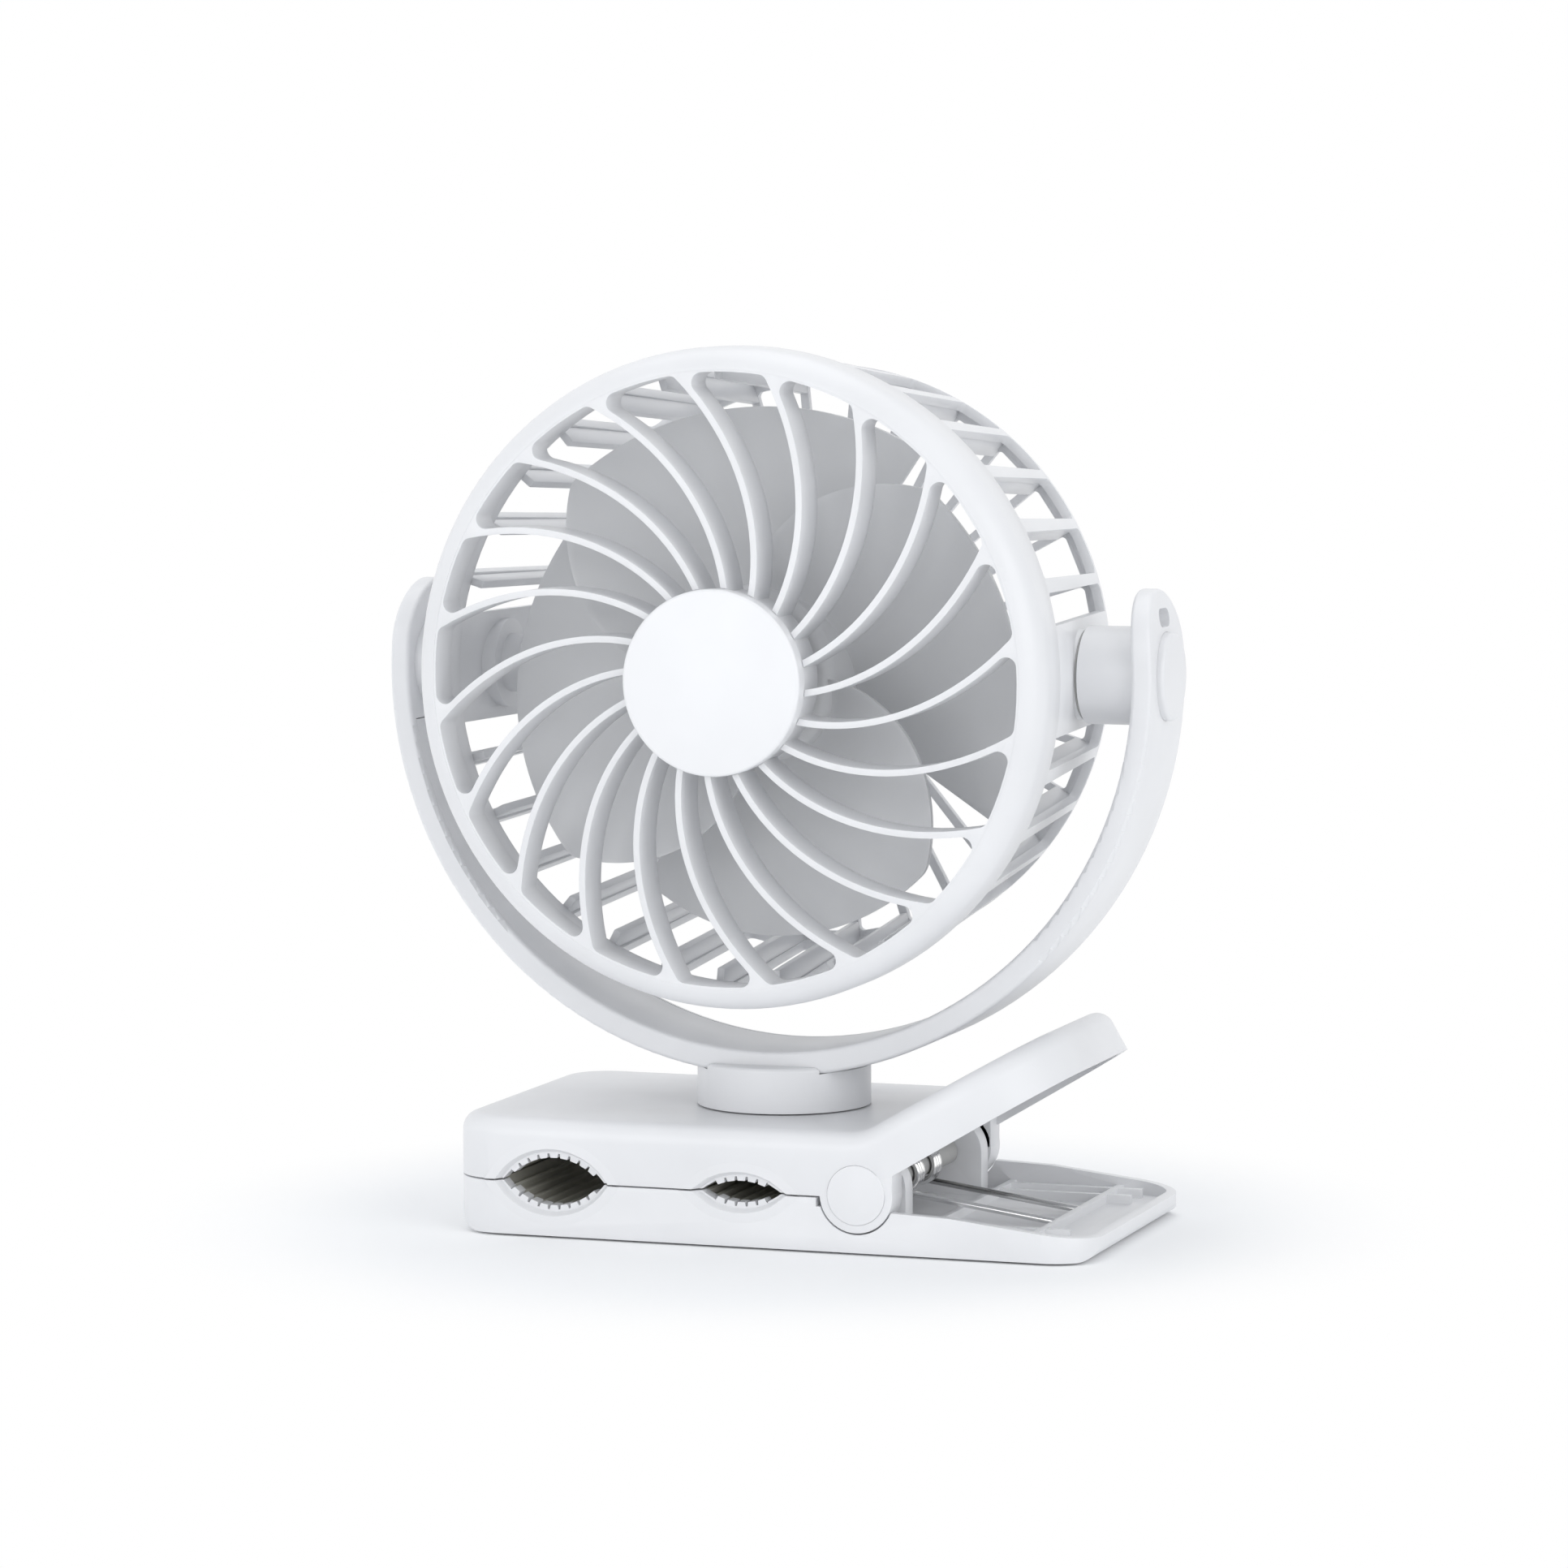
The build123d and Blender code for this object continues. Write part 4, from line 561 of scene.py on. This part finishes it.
@dataclass
class FanHead(SubAssembly):
    """The caged head: housing, grille and motor.

    Attributes:
        pivot_z: Height of the tilt pivots.
        bars: Bars round the housing's side.
        plain_bars: Bars at the pivots, where the wall has no window.
        bar_width: Width of a bar.
        bar_depth: How far a bar reaches inward.
        wall_rear: Radius and depth of the wall's rear end.
        wall_front: Radius and depth of the wall's front end.
        ring: Inner and outer radius of a friction ring.
        ring_x: Its two faces along the pivots.
    """

    pivot_z: float = 123.1 * MM
    bars: int = 32
    plain_bars: tuple[int, ...] = (0, 15, 16, 31)
    bar_width: float = 1.8 * MM
    bar_depth: float = 4.4 * MM
    wall_rear: tuple[float, float] = (64.3 * MM, -32.1 * MM)
    wall_front: tuple[float, float] = (68.9 * MM, 23.6 * MM)
    ring: tuple[float, float] = (8.3 * MM, 10.2 * MM)
    ring_x: tuple[float, float] = (69.74 * MM, 70.36 * MM)

    def local(self, x: float, y: float, out: float) -> Vector:
        """Gives a frame point from the head's own directions.

        Args:
            x: To the right.
            y: Up from the pivots.
            out: Toward the front.

        Returns:
            The point in the frame.
        """
        return Vector((x, -out, self.pivot_z + y))

    def deep_bars(self) -> None:
        """Builds the inward depth of the bars between the side windows."""
        form = bmesh.new()
        (rear_r, rear), (front_r, front) = self.wall_rear, self.wall_front
        outline = ((rear_r - self.bar_depth, rear), (rear_r, rear), (front_r, front),
                   (front_r - self.bar_depth, front))
        for number in range(self.bars):
            if number in self.plain_bars:
                continue
            angle = radians((number + 0.5) * 360 / self.bars)
            across = Vector((-sin(angle), 0, cos(angle))) * self.bar_width
            face = [self.local(r * cos(angle), r * sin(angle), out) - across / 2
                    for r, out in outline]
            prism(form, face, across, self.edge)
        finished(form, "deep_bars", SHELL, "head")

    def pivot_rings(self) -> None:
        """Builds the pale friction ring that fills the joint at each pivot."""
        form = bmesh.new()
        (inner, outer), (near, far) = self.ring, self.ring_x
        for side in (-1, 1):
            profile = [form.verts.new(self.local(side * x, r, 0)) for r, x in (
                (inner, near), (outer - self.edge, near), (outer, (near + far) / 2),
                (outer - self.edge, far), (inner, far))]
            edges = [form.edges.new(pair) for pair in zip(profile, profile[1:] + profile[:1])]
            bmesh.ops.spin(form, geom=profile + edges, cent=self.local(0, 0, 0),
                           axis=(1, 0, 0), angle=radians(360), steps=64, use_merge=True)
        finished(form, "pivot_rings", GREY, "head")

    def build(self) -> None:
        """Builds the finer pieces of the head."""
        self.deep_bars()
        self.pivot_rings()

    def dress(self) -> None:
        """Finishes the CAD pieces of the head."""
        dress(("rear_housing", "front_grille"), SHELL, self.edge)
        dress(("motor_cover",), SHELL)
        dress(("centre_cap",), CAP)
        dress(("pivot_washers",), GREY)
        dress(("motor", "motor_screws", "pivot_screws"), STEEL)


@dataclass
class Rotor(SubAssembly):
    """The impeller on its shaft."""

    edge: float = 0.25 * MM

    def dress(self) -> None:
        """Finishes the CAD pieces of the rotor."""
        dress(("impeller",), BLADE, self.edge)
        dress(("motor_shaft",), STEEL)
        dress(("shaft_nut",), BRASS)


@dataclass(frozen=True)
class Lamp:
    """One soft square lamp.

    Attributes:
        name: Name of the lamp.
        place: Where it stands.
        size: Side of its face.
        watts: Its power.
        aim: Point that it faces.
    """

    name: str
    place: tuple[float, float, float]
    size: float
    watts: float
    aim: tuple[float, float, float] = (0, 0, 0.1)

    def hang(self) -> None:
        """Adds the lamp to the scene."""
        data = bpy.data.lights.new(self.name, "AREA")
        data.size, data.energy = self.size, self.watts
        lamp = bpy.data.objects.new(self.name, data)
        turn = (Vector(self.aim) - Vector(self.place)).to_track_quat("-Z", "Y")
        lamp.matrix_world = Matrix.Translation(self.place) @ turn.to_matrix().to_4x4()
        bpy.context.scene.collection.objects.link(lamp)


@dataclass
class Studio:
    """Camera, lamps and the white floor.

    Attributes:
        azimuth: Camera angle from the front toward +X, in degrees.
        elevation: Camera angle above the floor, in degrees.
        roll: Turn of the picture, in degrees.
        distance: From the camera to its target, in metres.
        lens: Focal length in millimetres on the sensor.
        sensor: Width of the sensor in millimetres.
        target: Point that the camera looks at.
        floor_half: Half the side of the floor.
        surround: Strength of the light from all round.
        shadow_reach: Where the floor starts to turn plain white, and where it has.
        view_reach: Nearest and farthest distance that the camera sees.
        lamps: The lamps round the fan.
    """

    azimuth: float = 19.21
    elevation: float = 5.26
    roll: float = -0.2
    distance: float = 1.2704
    lens: float = 131.85
    sensor: float = 36.0
    target: Vector = field(default_factory=lambda: Vector((0.00014, 0, 0.0974)))
    floor_half: float = 3.0
    surround: float = 0.7
    shadow_reach: tuple[float, float] = (0.085, 0.15)
    view_reach: tuple[float, float] = (0.01, 20)
    lamps: tuple[Lamp, ...] = (
        Lamp("key", (-0.7, -1.6, 0.4), 1.2, 6.8),
        Lamp("fill", (1.5, -0.8, 0.5), 1.4, 9.5),
        Lamp("top", (-0.2, 0.2, 1.7), 1.4, 7.5),
        Lamp("side", (-1.5, -0.3, 0.1), 1.2, 2.5))

    def camera(self) -> None:
        """Places the camera where the photograph was taken from."""
        az, el = radians(self.azimuth), radians(self.elevation)
        back = Vector((sin(az) * cos(el), -cos(az) * cos(el), sin(el)))
        data = bpy.data.cameras.new("photo_camera")
        data.lens, data.sensor_width = self.lens, self.sensor
        data.clip_start, data.clip_end = self.view_reach
        eye = bpy.data.objects.new("photo_camera", data)
        turn = back.to_track_quat("Z", "Y") @ Matrix.Rotation(
            radians(self.roll), 3, "Z").to_quaternion()
        eye.matrix_world = Matrix.Translation(self.target + back * self.distance) @ (
            turn.to_matrix().to_4x4())
        bpy.context.scene.collection.objects.link(eye)
        bpy.context.scene.camera = eye

    @staticmethod
    def seen(tree: bpy.types.NodeTree) -> bpy.types.NodeSocket:
        """Adds nodes that are one for what the camera, a gloss or a glass shows.

        Args:
            tree: Node tree of the world or of the floor's material.

        Returns:
            The socket that holds the one or zero.
        """
        rays = tree.nodes.new("ShaderNodeLightPath")
        total = rays.outputs["Is Camera Ray"]
        for name in ("Is Glossy Ray", "Is Transmission Ray"):
            more = tree.nodes.new("ShaderNodeMath")
            more.operation = "MAXIMUM"
            tree.links.new(total, more.inputs[0])
            tree.links.new(rays.outputs[name], more.inputs[1])
            total = more.outputs["Value"]
        return total

    @staticmethod
    def whiten(tree: bpy.types.NodeTree, kind: str, share: bpy.types.NodeSocket,
               plain: bpy.types.NodeSocket, surface: bpy.types.NodeSocket) -> None:
        """Mixes plain white over a shader.

        Args:
            tree: Node tree of the world or of the floor's material.
            kind: Node type that gives off the white.
            share: Share of the white.
            plain: Output of the shader below it.
            surface: Input that takes the mix.
        """
        white = tree.nodes.new(kind)
        white.inputs["Color"].default_value = WHITE
        white.inputs["Strength"].default_value = 1.0
        mix = tree.nodes.new("ShaderNodeMixShader")
        tree.links.new(share, mix.inputs["Fac"])
        tree.links.new(plain, mix.inputs[1])
        tree.links.new(white.outputs[0], mix.inputs[2])
        tree.links.new(mix.outputs["Shader"], surface)

    def world(self) -> None:
        """Gives a soft even surround that the camera sees as white."""
        world = bpy.data.worlds.new("studio")
        bpy.context.scene.world = world
        world.use_nodes = True
        tree = world.node_tree
        plain = tree.nodes["Background"]
        plain.inputs["Color"].default_value = (0.95, 0.97, 1.0, 1)
        plain.inputs["Strength"].default_value = self.surround
        self.whiten(tree, "ShaderNodeBackground", self.seen(tree),
                    plain.outputs["Background"],
                    tree.nodes["World Output"].inputs["Surface"])

    def floor(self) -> None:
        """Lays the pale floor, which keeps the fan's soft shadow."""
        form = bmesh.new()
        bmesh.ops.create_grid(form, x_segments=1, y_segments=1, size=self.floor_half)
        mesh = bpy.data.meshes.new("floor")
        form.to_mesh(mesh)
        form.free()
        floor = bpy.data.objects.new("floor", mesh)
        bpy.context.scene.collection.objects.link(floor)
        mesh.materials.append(self.floor_material())

    def floor_material(self) -> bpy.types.Material:
        """Makes the floor: matt round the fan, and plain white for the eye further out.

        Returns:
            The floor's material.
        """
        made = bpy.data.materials.new("pale_floor")
        made.use_nodes = True
        tree = made.node_tree
        shader = tree.nodes["Principled BSDF"]
        shader.inputs["Base Color"].default_value = (0.96, 0.965, 0.97, 1)
        shader.inputs["Roughness"].default_value = 0.9
        shader.inputs["Specular IOR Level"].default_value = 0.1
        place = tree.nodes.new("ShaderNodeTexCoord")
        reach = tree.nodes.new("ShaderNodeVectorMath")
        reach.operation = "LENGTH"
        tree.links.new(place.outputs["Object"], reach.inputs[0])
        fade = tree.nodes.new("ShaderNodeMapRange")
        fade.interpolation_type = "SMOOTHSTEP"
        fade.inputs["From Min"].default_value = self.shadow_reach[0]
        fade.inputs["From Max"].default_value = self.shadow_reach[1]
        tree.links.new(reach.outputs["Value"], fade.inputs["Value"])
        share = tree.nodes.new("ShaderNodeMath")
        share.operation = "MULTIPLY"
        tree.links.new(self.seen(tree), share.inputs[0])
        tree.links.new(fade.outputs["Result"], share.inputs[1])
        self.whiten(tree, "ShaderNodeEmission", share.outputs["Value"],
                    shader.outputs["BSDF"],
                    tree.nodes["Material Output"].inputs["Surface"])
        return made

    def build(self) -> None:
        """Sets up the whole studio."""
        self.camera()
        self.world()
        self.floor()
        for lamp in self.lamps:
            lamp.hang()
        bpy.context.scene.view_settings.view_transform = "Standard"


def main() -> None:
    """Builds and dresses the fan."""
    logging.basicConfig(level=logging.INFO)
    Studio().build()
    for group in (ClipBase(), SwivelBow(), FanHead(), Rotor()):
        group.dress()
        group.build()
        log.info("dressed %s", type(group).__name__)


if __name__ == "__main__":
    main()
